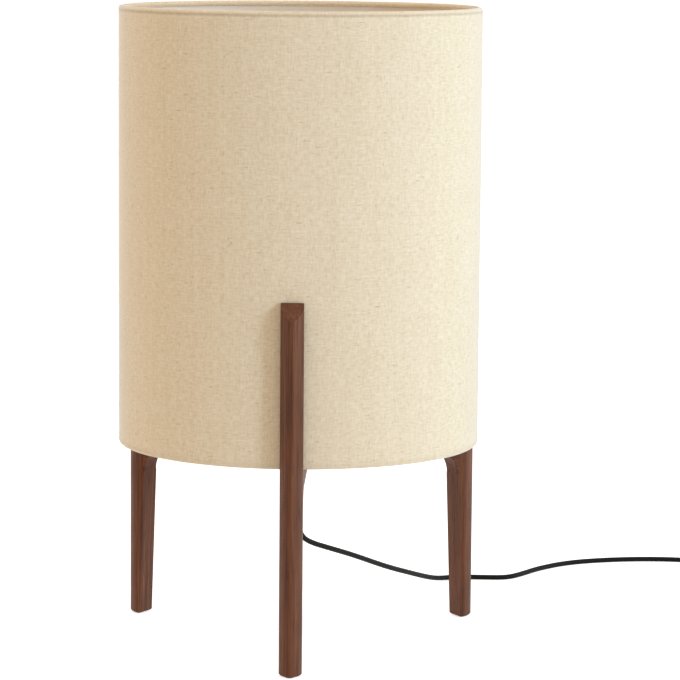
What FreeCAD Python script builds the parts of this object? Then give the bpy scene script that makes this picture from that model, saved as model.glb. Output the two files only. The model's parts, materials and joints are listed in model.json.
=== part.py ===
import FreeCAD, Part
import math
import os
import re
import Sketcher

# A drum-shade table lamp on three wooden L-shaped legs, in millimetres.
# +Z is up and z = 0 is the surface the lamp stands on. The front leg points along -Y.
# The origin is the middle of the lamp's footprint box, so the lamp's own axis stands a little behind it.

doc = FreeCAD.newDocument("table_lamp")

# Driving sizes: name, value, what it is.
driving_sizes = [
    ("shade_radius", 150.0, "outside radius of the drum shade"),
    ("shade_height", 363.0, "height of the drum shade"),
    ("shade_gap", 0.3, "gap under the shade where it rests on the arms"),
    ("fabric_skin", 0.6, "thickness of the linen"),
    ("liner_skin", 0.4, "thickness of the stiff liner behind the linen"),
    ("ring_wire", 1.5, "radius of the wire in the shade rings"),
    ("ring_gap", 0.35, "room round the wire inside the rolled linen"),
    ("glue_gap", 0.05, "room round a piece that is glued or pressed in"),
    ("post_gap", 1.5, "gap between shade and post"),
    ("post_depth", 19.5, "radial depth of a post"),
    ("post_width", 18.6, "width of post and arm"),
    ("post_shoulder", 7.0, "straight part of a post's sides, from its inner face"),
    ("shoulder_round", 8.0, "rounding where these sides turn into the pointed nose"),
    ("nose_round", 2.5, "rounding of the ridge of the nose"),
    ("post_height", 300.0, "top edge of a post"),
    ("post_slope_share", 0.72, "drop of the slanted top per length of reach"),
    ("foot_taper", 3.5, "how far the inner face of a post draws in down to its foot"),
    ("foot_chamfer", 1.0, "chamfer round the foot"),
    ("edge_round", 0.7, "rounding of the wooden edges"),
    ("seat_height", 165.0, "top of the arms, where the shade rests"),
    ("arm_thickness", 17.0, "height of an arm"),
    ("arm_curve", 22.0, "radius of the curve from arm to post"),
    ("arm_lip", 1.2, "thin end of that curve, which stands on a ledge of the post"),
    ("hub_flat", 22.0, "axis to flat of the six-sided hub block"),
    ("dowel_radius", 3.0, "dowels between arm and post"),
    ("dowel_length", 26.0, "length of these dowels"),
    ("dowel_drop", 6.0, "arm top to upper dowel"),
    ("dowel_pitch", 8.0, "upper dowel to lower dowel"),
    ("hub_dowel_radius", 4.0, "dowel between arm and hub block"),
    ("hub_dowel_length", 20.0, "length of that dowel"),
    ("dowel_end_room", 1.0, "room beyond each end of a dowel"),
    ("glide_radius", 4.6, "plastic glide under a post"),
    ("glide_height", 2.5, "height of a glide's head"),
    ("glide_stand", 0.8, "how far a glide stands out of the foot"),
    ("nail_radius", 1.0, "nail of a glide"),
    ("nail_length", 12.0, "length of that nail"),
    ("plate_radius", 55.0, "steel plate on the arms"),
    ("plate_thickness", 2.0, "thickness of the plate"),
    ("screw_inner_spot", 37.5, "axis to inner screw of an arm"),
    ("screw_outer_spot", 48.5, "axis to outer screw of an arm"),
    ("screw_shank", 1.7, "radius of a wood screw"),
    ("screw_head", 3.4, "radius of its countersunk head"),
    ("screw_sink", 1.8, "height of that head"),
    ("screw_length", 13.0, "length of a wood screw"),
    ("screw_slot", 0.9, "width of the cross in a screw head"),
    ("nipple_radius", 5.0, "threaded tube through the hub"),
    ("nipple_bore", 3.6, "bore of that tube"),
    ("nipple_drop", 8.0, "tube below the hub block"),
    ("nipple_rise", 6.0, "tube inside the lampholder cap"),
    ("washer_radius", 9.0, "washers on the tube"),
    ("washer_thickness", 1.0, "thickness of a washer"),
    ("nut_flat", 7.0, "axis to flat of the hexagon nuts"),
    ("nut_height", 4.0, "height of a nut"),
    ("running_gap", 0.05, "radial room of a shaft in its hole"),
    ("relief_collar", 6.4, "top radius of the cord's strain relief"),
    ("relief_tip", 3.0, "radius of its lower end"),
    ("relief_length", 22.0, "length of the strain relief"),
    ("relief_collar_height", 4.0, "straight part of the strain relief"),
    ("cord_diameter", 4.5, "outside diameter of the mains cord"),
    ("core_radius", 0.9, "insulated core inside the cord"),
    ("holder_radius", 19.0, "outside radius of the lampholder"),
    ("holder_wall", 2.0, "wall of the lampholder"),
    ("holder_collar", 8.0, "radius of the lampholder's threaded neck"),
    ("holder_neck", 7.0, "height of that neck"),
    ("holder_cap_height", 26.0, "height of the lampholder cap"),
    ("holder_dome", 10.0, "height of its sloping part"),
    ("holder_skirt_height", 30.0, "height of the lampholder's skirt"),
    ("insert_radius", 16.7, "insulating insert in the lampholder"),
    ("insert_height", 8.5, "height of the insert"),
    ("insert_rim", 2.0, "rim on the insert that carries the threaded sleeve"),
    ("terminal_side", 5.0, "side of a brass terminal block"),
    ("terminal_spot", 7.0, "axis to terminal"),
    ("terminal_screw", 1.3, "radius of a terminal screw"),
    ("tongue_width", 5.0, "width of the contact springs"),
    ("tongue_skin", 0.5, "thickness of the contact springs"),
    ("tongue_rise", 3.4, "height of the middle contact over the insert"),
    ("tongue_reach", 11.0, "axis to the foot of the middle contact"),
    ("sleeve_radius", 13.45, "inside radius of the threaded sleeve"),
    ("sleeve_skin", 0.5, "thickness of the sleeve"),
    ("sleeve_height", 25.0, "height of the sleeve"),
    ("contact_gap", 0.3, "gap between bulb contact and spring"),
    ("bulb_contact_radius", 4.6, "middle contact of the bulb"),
    ("bulb_contact_height", 1.4, "height of that contact"),
    ("bulb_glass_height", 3.6, "height of the black insulator above it"),
    ("bulb_glass_radius", 11.3, "upper radius of the insulator"),
    ("bulb_cap_radius", 13.1, "screw cap of the bulb over its thread"),
    ("bulb_cap_height", 21.0, "height of the screw cap"),
    ("bulb_cap_skin", 0.4, "thickness of the screw cap"),
    ("bulb_neck_radius", 14.5, "bulb housing just above the cap"),
    ("bulb_neck_height", 3.0, "height of that neck"),
    ("bulb_housing_height", 39.0, "height of the bulb housing"),
    ("bulb_housing_radius", 27.5, "upper radius of the bulb housing"),
    ("bulb_housing_wall", 1.6, "wall of the bulb housing"),
    ("bulb_globe_radius", 30.0, "radius of the opal globe"),
    ("bulb_globe_wall", 1.2, "wall of the globe"),
    ("led_board_radius", 24.5, "board that carries the light-emitting chips"),
    ("led_board_thickness", 1.4, "thickness of that board"),
    ("led_ring_radius", 16.0, "ring on which the chips sit"),
    ("led_side", 3.0, "side of a chip"),
    ("led_height", 0.8, "height of a chip"),
    ("driver_width", 15.0, "width of the driver board in the housing"),
    ("driver_height", 30.0, "height of the driver board"),
    ("driver_thickness", 1.4, "thickness of the driver board"),
    ("capacitor_radius", 4.0, "radius of the capacitor on the driver board"),
    ("capacitor_height", 12.0, "height of the capacitor"),
    ("switch_length", 60.0, "length of the cord switch"),
    ("switch_width", 24.0, "width of the cord switch"),
    ("switch_split", 7.0, "height of its lower half, and of the cord's axis in it"),
    ("switch_cover_height", 8.0, "height of its upper half"),
    ("switch_corner", 7.0, "corner radius seen from above"),
    ("switch_wall", 1.6, "wall of the cord switch"),
    ("switch_cave_length", 34.0, "length of its hollow middle"),
    ("rocker_length", 16.0, "length of the rocker"),
    ("rocker_width", 10.4, "width of the rocker"),
    ("rocker_end_height", 3.4, "rocker ends above the pivot"),
    ("rocker_waist_height", 2.3, "rocker middle above the pivot"),
    ("rocker_skirt", 1.2, "rocker below the pivot"),
    ("rocker_gap", 0.8, "gap round the rocker's ends"),
    ("rocker_side_gap", 0.3, "gap beside the rocker"),
    ("rocker_pivot_drop", 2.9, "top of the cover to the pivot"),
    ("rocker_pin", 1.0, "radius of the rocker's pivot pin"),
    ("rocker_rib", 2.0, "thickness of the ribs that hold the pin"),
    ("rocker_rib_length", 6.0, "length of these ribs"),
    ("rocker_rib_drop", 2.0, "ribs below the pivot"),
    ("rocker_tilt", 8.0, "tilt of the rocker to each side, in degrees"),
    ("case_screw", 1.4, "radius of a screw in the cord switch"),
    ("case_screw_head", 2.6, "radius of its head"),
    ("case_screw_sink", 1.6, "height of its head"),
    ("case_screw_length", 10.0, "length of that screw"),
    ("case_screw_across", 7.2, "screw beside the cord"),
    ("case_screw_along", 23.0, "screw from the middle of the switch"),
    ("case_round", 1.6, "rounding of the switch's upper edge"),
    ("live_offset", 1.1, "middle of the cord to each of its two cores"),
    ("live_length", 9.0, "live core bared from its sheath on each side of the switch"),
    ("block_width", 5.0, "width of a contact block in the switch"),
    ("block_length", 5.0, "length of a contact block"),
    ("block_spot", 10.5, "middle of the switch to a contact block"),
    ("spring_width", 2.4, "width of the contact spring"),
    ("spring_skin", 0.5, "thickness of the contact spring"),
    ("turn_gap", 0.5, "gap between turns of the cord coil"),
    ("coil_core", 20.5, "innermost radius of the coil"),
    ("coil_row", 145.0, "middle of the coil, along the depth from the lamp's footprint"),
    ("tie_skin", 0.8, "thickness of the strap round the coil"),
    ("tie_width", 9.0, "width of the strap"),
    ("tie_slack", 0.7, "room inside the strap"),
    ("tie_corner", 1.6, "outer corner radius of the strap"),
    ("plug_width", 35.3, "width of the plug at its pins"),
    ("plug_thickness", 13.7, "thickness of the plug"),
    ("plug_shoulder", 15.0, "straight part of the plug behind its face"),
    ("plug_length", 34.0, "length of the plug body"),
    ("plug_tail_width", 13.0, "width of the plug where the cord enters"),
    ("plug_round", 3.0, "rounding of the plug body"),
    ("plug_relief_length", 24.0, "strain relief of the plug"),
    ("plug_relief_root", 4.9, "radius of that relief at the plug"),
    ("plug_relief_tip", 3.4, "radius of that relief at the cord"),
    ("plug_groove", 0.6, "depth of the grooves in that relief"),
    ("pin_radius", 2.0, "radius of a plug pin"),
    ("pin_core", 1.5, "radius of the pin under its sleeve"),
    ("pin_length", 19.0, "length of a pin outside the plug"),
    ("pin_sleeve", 10.0, "length of the insulating sleeve"),
    ("pin_root", 6.0, "length of a pin inside the plug"),
    ("pin_spacing", 18.6, "distance between the pins"),
    ("cut_overrun", 2.0, "how far a cut runs past the piece"),
]

# Sizes that follow from the driving ones.
derived_sizes = {
    "axis_offset": "(post_reach - shade_radius) / 2",
    "post_seat": "shade_radius + post_gap",
    "post_reach": "post_seat + post_depth",
    "half_width": "post_width / 2",
    "arm_underside": "seat_height - arm_thickness",
    "knee_height": "arm_underside - arm_curve",
    "dowel_hole": "dowel_length / 2 + dowel_end_room",
    "hub_dowel_hole": "hub_dowel_length / 2 + dowel_end_room",
    "upper_dowel_height": "seat_height - dowel_drop",
    "lower_dowel_height": "upper_dowel_height - dowel_pitch",
    "hub_dowel_height": "seat_height - arm_thickness / 2",
    "hub_corner": "hub_flat * 2 / sqrt(3)",
    "foot_middle": "(post_seat + foot_taper + post_reach) / 2",
    "plate_top": "seat_height + plate_thickness",
    "upper_nut_base": "plate_top + washer_thickness",
    "holder_base": "upper_nut_base + nut_height",
    "lower_nut_base": "arm_underside - washer_thickness - nut_height",
    "nipple_base": "arm_underside - nipple_drop",
    "nipple_top": "holder_base + nipple_rise",
    "relief_base": "lower_nut_base - relief_length",
    "cord_radius": "cord_diameter / 2",
    "sheath_top": "nipple_top + cord_radius / 2",
    "holder_split": "holder_base + holder_cap_height",
    "insert_base": "holder_split - insert_height + sleeve_skin * 2",
    "insert_floor": "insert_base + insert_height",
    "sleeve_base": "insert_floor + insert_rim",
    "skirt_top": "holder_split + holder_skirt_height",
    "bulb_base": "insert_floor + tongue_rise + tongue_skin + contact_gap",
    "bulb_glass_base": "bulb_base + bulb_contact_height",
    "bulb_cap_base": "bulb_glass_base + bulb_glass_height",
    "bulb_cap_top": "bulb_cap_base + bulb_cap_height",
    "bulb_seam": "bulb_cap_top + bulb_housing_height",
    "globe_middle": "bulb_seam + sqrt(bulb_globe_radius ^ 2 - bulb_housing_radius ^ 2)",
    "board_base": "bulb_seam - led_board_thickness",
    "shade_base": "seat_height + shade_gap",
    "shade_top": "shade_base + shade_height",
    "fold_radius": "ring_wire + ring_gap + fabric_skin",
    "ring_path": "shade_radius - fold_radius",
    "wall_inside": "shade_radius - fabric_skin",
    "liner_inside": "wall_inside - liner_skin",
    "case_top": "switch_split + switch_cover_height",
    "rocker_pivot": "case_top - rocker_pivot_drop",
    "turn_pitch": "cord_diameter + turn_gap",
    "coil_floor": "tie_skin + glue_gap + cord_radius",
    "coil_upper": "coil_floor + turn_pitch",
}

driving = {name: value for name, value, note in driving_sizes}
sheet = doc.addObject("Spreadsheet::Sheet", "sizes")
for row, (name, value, note) in enumerate(driving_sizes, start=1):
    sheet.set("A" + str(row), name)
    sheet.set("B" + str(row), str(value))
    sheet.set("C" + str(row), note)
    sheet.setAlias("B" + str(row), name)
doc.recompute()


def spelled(text):
    # A derived name becomes what it stands for, and a driving one is looked up in the sheet.
    def swap(match):
        word = match.group(0)
        if word in derived_sizes:
            return "(" + spelled(derived_sizes[word]) + ")"
        if word in driving:
            return "sizes." + word
        return word
    return re.sub(r"[a-z][a-z_]*", swap, text)


def worth(text):
    return float(sheet.evalExpression(spelled(text)))


def tie(thing, place, text):
    thing.setExpression(place, spelled(text))


def fixed(sketch, kind, edge, end, text):
    # One coordinate of a point, measured from the sketch's origin and bound to the sheet.
    value = 0.0 if text == "0" else worth(text)
    number = sketch.addConstraint(Sketcher.Constraint(kind, -1, 1, edge, end, value))
    if text != "0":
        tie(sketch, "Constraints[" + str(number) + "]", text)


def new_sketch(body, plane, lift):
    sketch = body.newObject("Sketcher::SketchObject", body.Name + "_sketch")
    support = [item for item in body.Origin.OriginFeatures if item.Role == plane]
    sketch.AttachmentSupport = [(support[0], "")]
    sketch.MapMode = "FlatFace"
    if lift != "0":
        tie(sketch, "AttachmentOffset.Base.z", lift)
    return sketch


def bend_centre(start, end, bend):
    # The centre of an arc lies on the middle line of its chord; one coordinate of it is given.
    side, axis, text = bend
    middle = (start + end) * 0.5
    across = FreeCAD.Vector(start.y - end.y, end.x - start.x, 0)
    if axis == "x":
        steps = (worth(text) - middle.x) / across.x if abs(across.x) > 0 else 0
    else:
        steps = (worth(text) - middle.y) / across.y if abs(across.y) > 0 else 0
    return middle + across * steps


def outline(body, plane, corners, lift="0"):
    # A closed outline. A corner is (across, up), with (side, axis, centre) added where an arc follows it.
    sketch = new_sketch(body, plane, lift)
    spots = []
    for corner in corners:
        spots.append(FreeCAD.Vector(worth(corner[0]), worth(corner[1]), 0))
    count = len(corners)
    first_end = []
    for index, corner in enumerate(corners):
        start = spots[index]
        end = spots[(index + 1) % count]
        if len(corner) == 2:
            sketch.addGeometry(Part.LineSegment(start, end))
            first_end.append(1)
            continue
        centre = bend_centre(start, end, corner[2])
        begin_angle = math.atan2(start.y - centre.y, start.x - centre.x)
        end_angle = math.atan2(end.y - centre.y, end.x - centre.x)
        if corner[2][0] == "right":
            begin_angle, end_angle = end_angle, begin_angle
        if end_angle <= begin_angle:
            end_angle += 2 * math.pi
        circle = Part.Circle(centre, FreeCAD.Vector(0, 0, 1), (start - centre).Length)
        sketch.addGeometry(Part.ArcOfCircle(circle, begin_angle, end_angle))
        first_end.append(1 if corner[2][0] == "left" else 2)
    for index, corner in enumerate(corners):
        after = (index + 1) % count
        sketch.addConstraint(
            Sketcher.Constraint("Coincident", index, 3 - first_end[index], after, first_end[after])
        )
        fixed(sketch, "DistanceX", index, first_end[index], corner[0])
        fixed(sketch, "DistanceY", index, first_end[index], corner[1])
        if len(corner) == 3:
            kind = "DistanceX" if corner[2][1] == "x" else "DistanceY"
            fixed(sketch, kind, index, 3, corner[2][2])
    return sketch


def discs(body, plane, circles, lift="0"):
    # Circles, each (across, up, radius).
    sketch = new_sketch(body, plane, lift)
    for index, (across, up, radius) in enumerate(circles):
        spot = FreeCAD.Vector(worth(across), worth(up), 0)
        sketch.addGeometry(Part.Circle(spot, FreeCAD.Vector(0, 0, 1), worth(radius)))
        number = sketch.addConstraint(Sketcher.Constraint("Radius", index, worth(radius)))
        tie(sketch, "Constraints[" + str(number) + "]", radius)
        fixed(sketch, "DistanceX", index, 3, across)
        fixed(sketch, "DistanceY", index, 3, up)
    return sketch


def new_body(name):
    body = doc.addObject("PartDesign::Body", name)
    body.Label = name
    return body


def pad(body, sketch, length, reverse=False, both_ways=False):
    feature = body.newObject("PartDesign::Pad", body.Name + "_pad")
    feature.Profile = sketch
    tie(feature, "Length", length)
    feature.Reversed = reverse
    if both_ways:
        feature.SideType = "Symmetric"
    doc.recompute()
    return feature


def cut(body, sketch, length, reverse=False, both_ways=False):
    # A cut that leaves the volume as it was points away from the solid, which is an error here.
    before = body.Shape.Volume
    feature = body.newObject("PartDesign::Pocket", body.Name + "_cut")
    feature.Profile = sketch
    tie(feature, "Length", length)
    feature.Reversed = reverse
    if both_ways:
        feature.SideType = "Symmetric"
    doc.recompute()
    if not body.Shape.Volume < before:
        raise RuntimeError(body.Label + ": a cut takes nothing away")
    return feature


def turned(name, corners):
    # A ring-shaped piece: its section, (radius, height), turned about the upright axis.
    body = new_body(name)
    feature = body.newObject("PartDesign::Revolution", name + "_turn")
    feature.Profile = outline(body, "XZ_Plane", corners)
    feature.ReferenceAxis = (feature.Profile[0], ["V_Axis"])
    feature.Angle = 360
    doc.recompute()
    return body


def tube_section(inner, outer, low, high):
    return [(inner, low), (outer, low), (outer, high), (inner, high)]


def around(body, feature, count):
    # Copies of one feature round the upright axis.
    pattern = body.newObject("PartDesign::PolarPattern", body.Name + "_pattern")
    pattern.Originals = [feature]
    upright = [item for item in body.Origin.OriginFeatures if item.Role == "Z_Axis"]
    pattern.Axis = (upright[0], [""])
    pattern.Angle = 360
    pattern.Occurrences = count
    body.Tip = pattern
    doc.recompute()
    return pattern


def dressed(body, kind, size, chosen):
    # Rounds or chamfers those edges of the finished body that "chosen" accepts.
    base = body.Tip
    names = []
    for index, edge in enumerate(base.Shape.Edges, start=1):
        if chosen(edge):
            names.append("Edge" + str(index))
    if not names:
        raise RuntimeError(body.Label + ": no edge to dress")
    feature = body.newObject("PartDesign::" + kind, body.Name + "_" + kind.lower())
    feature.Base = (base, names)
    tie(feature, "Radius" if kind == "Fillet" else "Size", size)
    doc.recompute()
    return feature


def box(name, sizes, corner):
    block = doc.addObject("Part::Box", name)
    for side, text in zip(("Length", "Width", "Height"), sizes):
        tie(block, side, text)
    for axis, text in zip("xyz", corner):
        if text != "0":
            tie(block, "Placement.Base." + axis, text)
    return block


def rod(name, radius, length, foot, turn=None):
    # A round rod. "turn" is (axis, degrees) where it doesn't stand upright.
    piece = doc.addObject("Part::Cylinder", name)
    tie(piece, "Radius", radius)
    tie(piece, "Height", length)
    if turn:
        piece.Placement = FreeCAD.Placement(FreeCAD.Vector(), FreeCAD.Rotation(turn[0], turn[1]))
    for axis, text in zip("xyz", foot):
        if text != "0":
            tie(piece, "Placement.Base." + axis, text)
    return piece


def minus(name, base, tool):
    piece = doc.addObject("Part::Cut", name)
    piece.Base = base
    piece.Tool = tool
    return piece


def together(name, pieces):
    # Alike small pieces that share one file, each a solid of its own.
    group = doc.addObject("Part::Compound", name)
    group.Label = name
    group.Links = pieces
    return group


def on_axis(piece, degrees=0):
    # Puts a piece, drawn about the lamp's own axis, into its place, turned about that axis.
    piece.Placement = FreeCAD.Placement(
        FreeCAD.Vector(0, worth("axis_offset"), 0),
        FreeCAD.Rotation(FreeCAD.Vector(0, 0, 1), degrees),
    )
    tie(piece, "Placement.Base.y", "axis_offset")
    subparts.append(piece)


def at_spot(piece, spot, turn=None):
    # Puts a piece of the cord's gear on a point of the cord's route.
    rotation = FreeCAD.Rotation(turn[0], turn[1]) if turn else FreeCAD.Rotation()
    piece.Placement = FreeCAD.Placement(spot, rotation)
    subparts.append(piece)


subparts = []
across_axis = FreeCAD.Vector(1, 0, 0)
along_axis = FreeCAD.Vector(0, 1, 0)
upright_axis = FreeCAD.Vector(0, 0, 1)
leg_turns = {"front": 0, "right": 120, "left": -120}


def near(value, text):
    return abs(value - worth(text)) < worth("glue_gap")


def all_at(edge, axis, text):
    # Whether the whole edge lies at one value of a coordinate.
    spots = [getattr(vertex.Point, axis) for vertex in edge.Vertexes]
    return all(near(spot, text) for spot in spots)


# Post: an upright with a pointed nose and a slanted top, drawn in on its inner face below the arm.
def post_edge(edge):
    low = min(vertex.Point.z for vertex in edge.Vertexes)
    top_edge = low > worth("post_height - post_slope_share * (post_depth + cut_overrun)")
    return top_edge or (all_at(edge, "y", "-post_seat") and not all_at(edge, "z", "knee_height"))


def make_post(side):
    body = new_body("post_" + side)
    shoulder = "-(post_seat + post_shoulder)"
    ledge = "-(post_seat - arm_lip)"
    section = [
        ("-half_width", ledge),
        ("-half_width", shoulder, ("left", "y", "-post_seat")),
        ("0", "-post_reach", ("left", "y", "-post_seat")),
        ("half_width", shoulder),
        ("half_width", ledge),
    ]
    pad(body, outline(body, "XY_Plane", section, "glide_stand"), "post_height - glide_stand")
    dressed(body, "Fillet", "nose_round", lambda edge: all_at(edge, "x", "0"))
    dressed(body, "Fillet", "shoulder_round", lambda edge: all_at(edge, "y", shoulder))
    inner = "-(post_seat - arm_lip - cut_overrun)"
    inside = [
        ("-post_seat", "post_height + cut_overrun"),
        ("-post_seat", "knee_height"),
        (ledge, "knee_height"),
        ("-(post_seat + foot_taper)", "glide_stand"),
        (inner, "glide_stand"),
        (inner, "post_height + cut_overrun"),
    ]
    cut(body, outline(body, "YZ_Plane", inside), "post_width + cut_overrun", both_ways=True)
    slant = [
        ("-post_seat", "post_height"),
        ("-(post_reach + cut_overrun)", "post_height - post_slope_share * (post_depth + cut_overrun)"),
        ("-(post_reach + cut_overrun)", "post_height + cut_overrun"),
        ("-post_seat", "post_height + cut_overrun"),
    ]
    cut(body, outline(body, "YZ_Plane", slant), "post_width + cut_overrun", both_ways=True)
    dressed(body, "Chamfer", "foot_chamfer", lambda edge: all_at(edge, "z", "glide_stand"))
    dressed(body, "Fillet", "edge_round", post_edge)
    hole = "dowel_radius + glue_gap"
    holes = [("0", "upper_dowel_height", hole), ("0", "lower_dowel_height", hole)]
    cut(body, discs(body, "XZ_Plane", holes, "post_seat"), "dowel_hole", reverse=True)
    head = [("0", "-foot_middle", "glide_radius + glue_gap")]
    cut(body, discs(body, "XY_Plane", head, "glide_stand"), "glide_height - glide_stand", reverse=True)
    nail = [("0", "-foot_middle", "nail_radius + glue_gap")]
    depth = "glide_height + nail_length + glue_gap"
    cut(body, discs(body, "XY_Plane", nail), depth, reverse=True)
    on_axis(body, leg_turns[side])


# Arm: runs from the hub block to the post, and curves down into the post at its end.
def arm_edge(edge):
    if not (all_at(edge, "x", "half_width") or all_at(edge, "x", "-half_width")):
        return False
    across_end = all_at(edge, "y", "-post_seat") or all_at(edge, "y", "-hub_flat")
    return not (across_end or all_at(edge, "z", "knee_height"))


def make_arm(side):
    body = new_body("arm_" + side)
    profile = [
        ("-hub_flat", "seat_height"),
        ("-post_seat", "seat_height"),
        ("-post_seat", "knee_height"),
        ("-(post_seat - arm_lip)", "knee_height", ("right", "y", "knee_height")),
        ("-(post_seat - arm_lip - arm_curve)", "arm_underside"),
        ("-hub_flat", "arm_underside"),
    ]
    pad(body, outline(body, "YZ_Plane", profile), "post_width", both_ways=True)
    dressed(body, "Fillet", "edge_round", arm_edge)
    hole = "dowel_radius + glue_gap"
    holes = [("0", "upper_dowel_height", hole), ("0", "lower_dowel_height", hole)]
    cut(body, discs(body, "XZ_Plane", holes, "post_seat"), "dowel_hole")
    hub_hole = [("0", "hub_dowel_height", "hub_dowel_radius + glue_gap")]
    cut(body, discs(body, "XZ_Plane", hub_hole, "hub_flat"), "hub_dowel_hole", reverse=True)
    pilot = "screw_shank + glue_gap"
    pilots = [("0", "-screw_inner_spot", pilot), ("0", "-screw_outer_spot", pilot)]
    cut(body, discs(body, "XY_Plane", pilots, "seat_height"), "screw_length")
    on_axis(body, leg_turns[side])


for leg in leg_turns:
    make_post(leg)
    make_arm(leg)

# Dowels glued into the joints of the legs.
post_dowels = []
hub_dowels = []
for leg, degrees in leg_turns.items():
    turn = FreeCAD.Rotation(upright_axis, degrees)
    for level in ("upper_dowel_height", "lower_dowel_height"):
        peg = rod("dowel_" + leg, "dowel_radius", "dowel_length", ("0", "0", "0"), (across_axis, 90))
        outward = worth("post_seat - dowel_length / 2")
        peg.Placement = FreeCAD.Placement(
            turn.multVec(FreeCAD.Vector(0, -outward, 0)) + FreeCAD.Vector(0, 0, worth(level)),
            turn * FreeCAD.Rotation(across_axis, 90),
        )
        post_dowels.append(peg)
    peg = rod("hub_dowel_" + leg, "hub_dowel_radius", "hub_dowel_length", ("0", "0", "0"), (across_axis, 90))
    outward = worth("hub_flat - hub_dowel_length / 2")
    peg.Placement = FreeCAD.Placement(
        turn.multVec(FreeCAD.Vector(0, -outward, 0)) + FreeCAD.Vector(0, 0, worth("hub_dowel_height")),
        turn * FreeCAD.Rotation(across_axis, 90),
    )
    hub_dowels.append(peg)
on_axis(together("post_dowels", post_dowels))
on_axis(together("hub_dowels", hub_dowels))

# Hub block: six-sided, with an arm against every second side.
hub = new_body("hub_block")
hub_corners = [
    ("hub_corner", "0"),
    ("hub_corner / 2", "hub_flat"),
    ("-hub_corner / 2", "hub_flat"),
    ("-hub_corner", "0"),
    ("-hub_corner / 2", "-hub_flat"),
    ("hub_corner / 2", "-hub_flat"),
]
pad(hub, outline(hub, "XY_Plane", hub_corners, "arm_underside"), "arm_thickness")
bore = [("0", "0", "nipple_radius + running_gap")]
cut(hub, discs(hub, "XY_Plane", bore, "arm_underside"), "arm_thickness", reverse=True)
hub_hole = [("0", "hub_dowel_height", "hub_dowel_radius + glue_gap")]
hub_cut = cut(hub, discs(hub, "XZ_Plane", hub_hole, "hub_flat"), "hub_dowel_hole")
around(hub, hub_cut, len(leg_turns))
on_axis(hub)

# Steel plate that ties the three arms together, with countersunk holes for its screws.
plate = new_body("hub_plate")
pad(plate, discs(plate, "XY_Plane", [("0", "0", "plate_radius")], "seat_height"), "plate_thickness")
cut(plate, discs(plate, "XY_Plane", bore, "seat_height"), "plate_thickness", reverse=True)
for spot in ("screw_inner_spot", "screw_outer_spot"):
    countersink = plate.newObject("PartDesign::Groove", "plate_countersink")
    sink_section = [
        ("0", "seat_height"),
        ("screw_shank + glue_gap", "seat_height"),
        ("screw_shank + glue_gap", "plate_top - screw_sink"),
        ("screw_head + glue_gap", "plate_top"),
        ("0", "plate_top"),
    ]
    countersink.Profile = outline(plate, "XZ_Plane", sink_section, spot)
    countersink.ReferenceAxis = (countersink.Profile[0], ["V_Axis"])
    countersink.Angle = 360
    doc.recompute()
    around(plate, countersink, len(leg_turns))
on_axis(plate)


# Wood screw: countersunk head with a cross in it, shank and point.
def make_screw(name, spot, head_top, shank, head, sink, length):
    cone = doc.addObject("Part::Cone", name + "_head")
    tie(cone, "Radius1", shank)
    tie(cone, "Radius2", head)
    tie(cone, "Height", sink)
    cone.Placement.Base = spot + FreeCAD.Vector(0, 0, worth(head_top + " - " + sink))
    stem = doc.addObject("Part::Cylinder", name + "_stem")
    tie(stem, "Radius", shank)
    tie(stem, "Height", length + " - " + sink + " - " + shank + " * 2")
    stem_foot = head_top + " - " + length + " + " + shank + " * 2"
    stem.Placement.Base = spot + FreeCAD.Vector(0, 0, worth(stem_foot))
    point = doc.addObject("Part::Cone", name + "_point")
    tie(point, "Radius1", shank + " / 8")
    tie(point, "Radius2", shank)
    tie(point, "Height", shank + " * 2")
    point.Placement.Base = spot + FreeCAD.Vector(0, 0, worth(head_top + " - " + length))
    whole = doc.addObject("Part::MultiFuse", name + "_whole")
    whole.Shapes = [cone, stem, point]
    slots = []
    for wide, deep in ((head + " * 1.1", "screw_slot"), ("screw_slot", head + " * 1.1")):
        slot = doc.addObject("Part::Box", name + "_slot")
        tie(slot, "Length", wide)
        tie(slot, "Width", deep)
        tie(slot, "Height", sink)
        slot.Placement.Base = spot + FreeCAD.Vector(
            -worth(wide) / 2, -worth(deep) / 2, worth(head_top + " - " + sink + " / 2")
        )
        slots.append(slot)
    cross = doc.addObject("Part::MultiFuse", name + "_cross")
    cross.Shapes = slots
    return minus(name, whole, cross)


screws = []
for leg, degrees in leg_turns.items():
    for spot in ("screw_inner_spot", "screw_outer_spot"):
        place = FreeCAD.Rotation(upright_axis, degrees).multVec(FreeCAD.Vector(0, -worth(spot), 0))
        screws.append(
            make_screw(
                "plate_screw", place, "plate_top", "screw_shank", "screw_head", "screw_sink", "screw_length"
            )
        )
on_axis(together("plate_screws", screws))

# Glides nailed into the feet.
for leg, degrees in leg_turns.items():
    glide_top = "glide_height + nail_length"
    section = [
        ("0", "0"),
        ("glide_radius - edge_round", "0"),
        ("glide_radius", "edge_round"),
        ("glide_radius", "glide_height"),
        ("nail_radius", "glide_height"),
        ("nail_radius", glide_top + " - nail_radius * 2"),
        ("0", glide_top),
    ]
    glide = turned("glide_" + leg, section)
    on_axis(glide)
    outward = FreeCAD.Rotation(upright_axis, degrees).multVec(FreeCAD.Vector(0, -worth("foot_middle"), 0))
    glide.setExpression("Placement.Base.y", None)
    glide.Placement.Base = outward + FreeCAD.Vector(0, worth("axis_offset"), 0)

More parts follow.
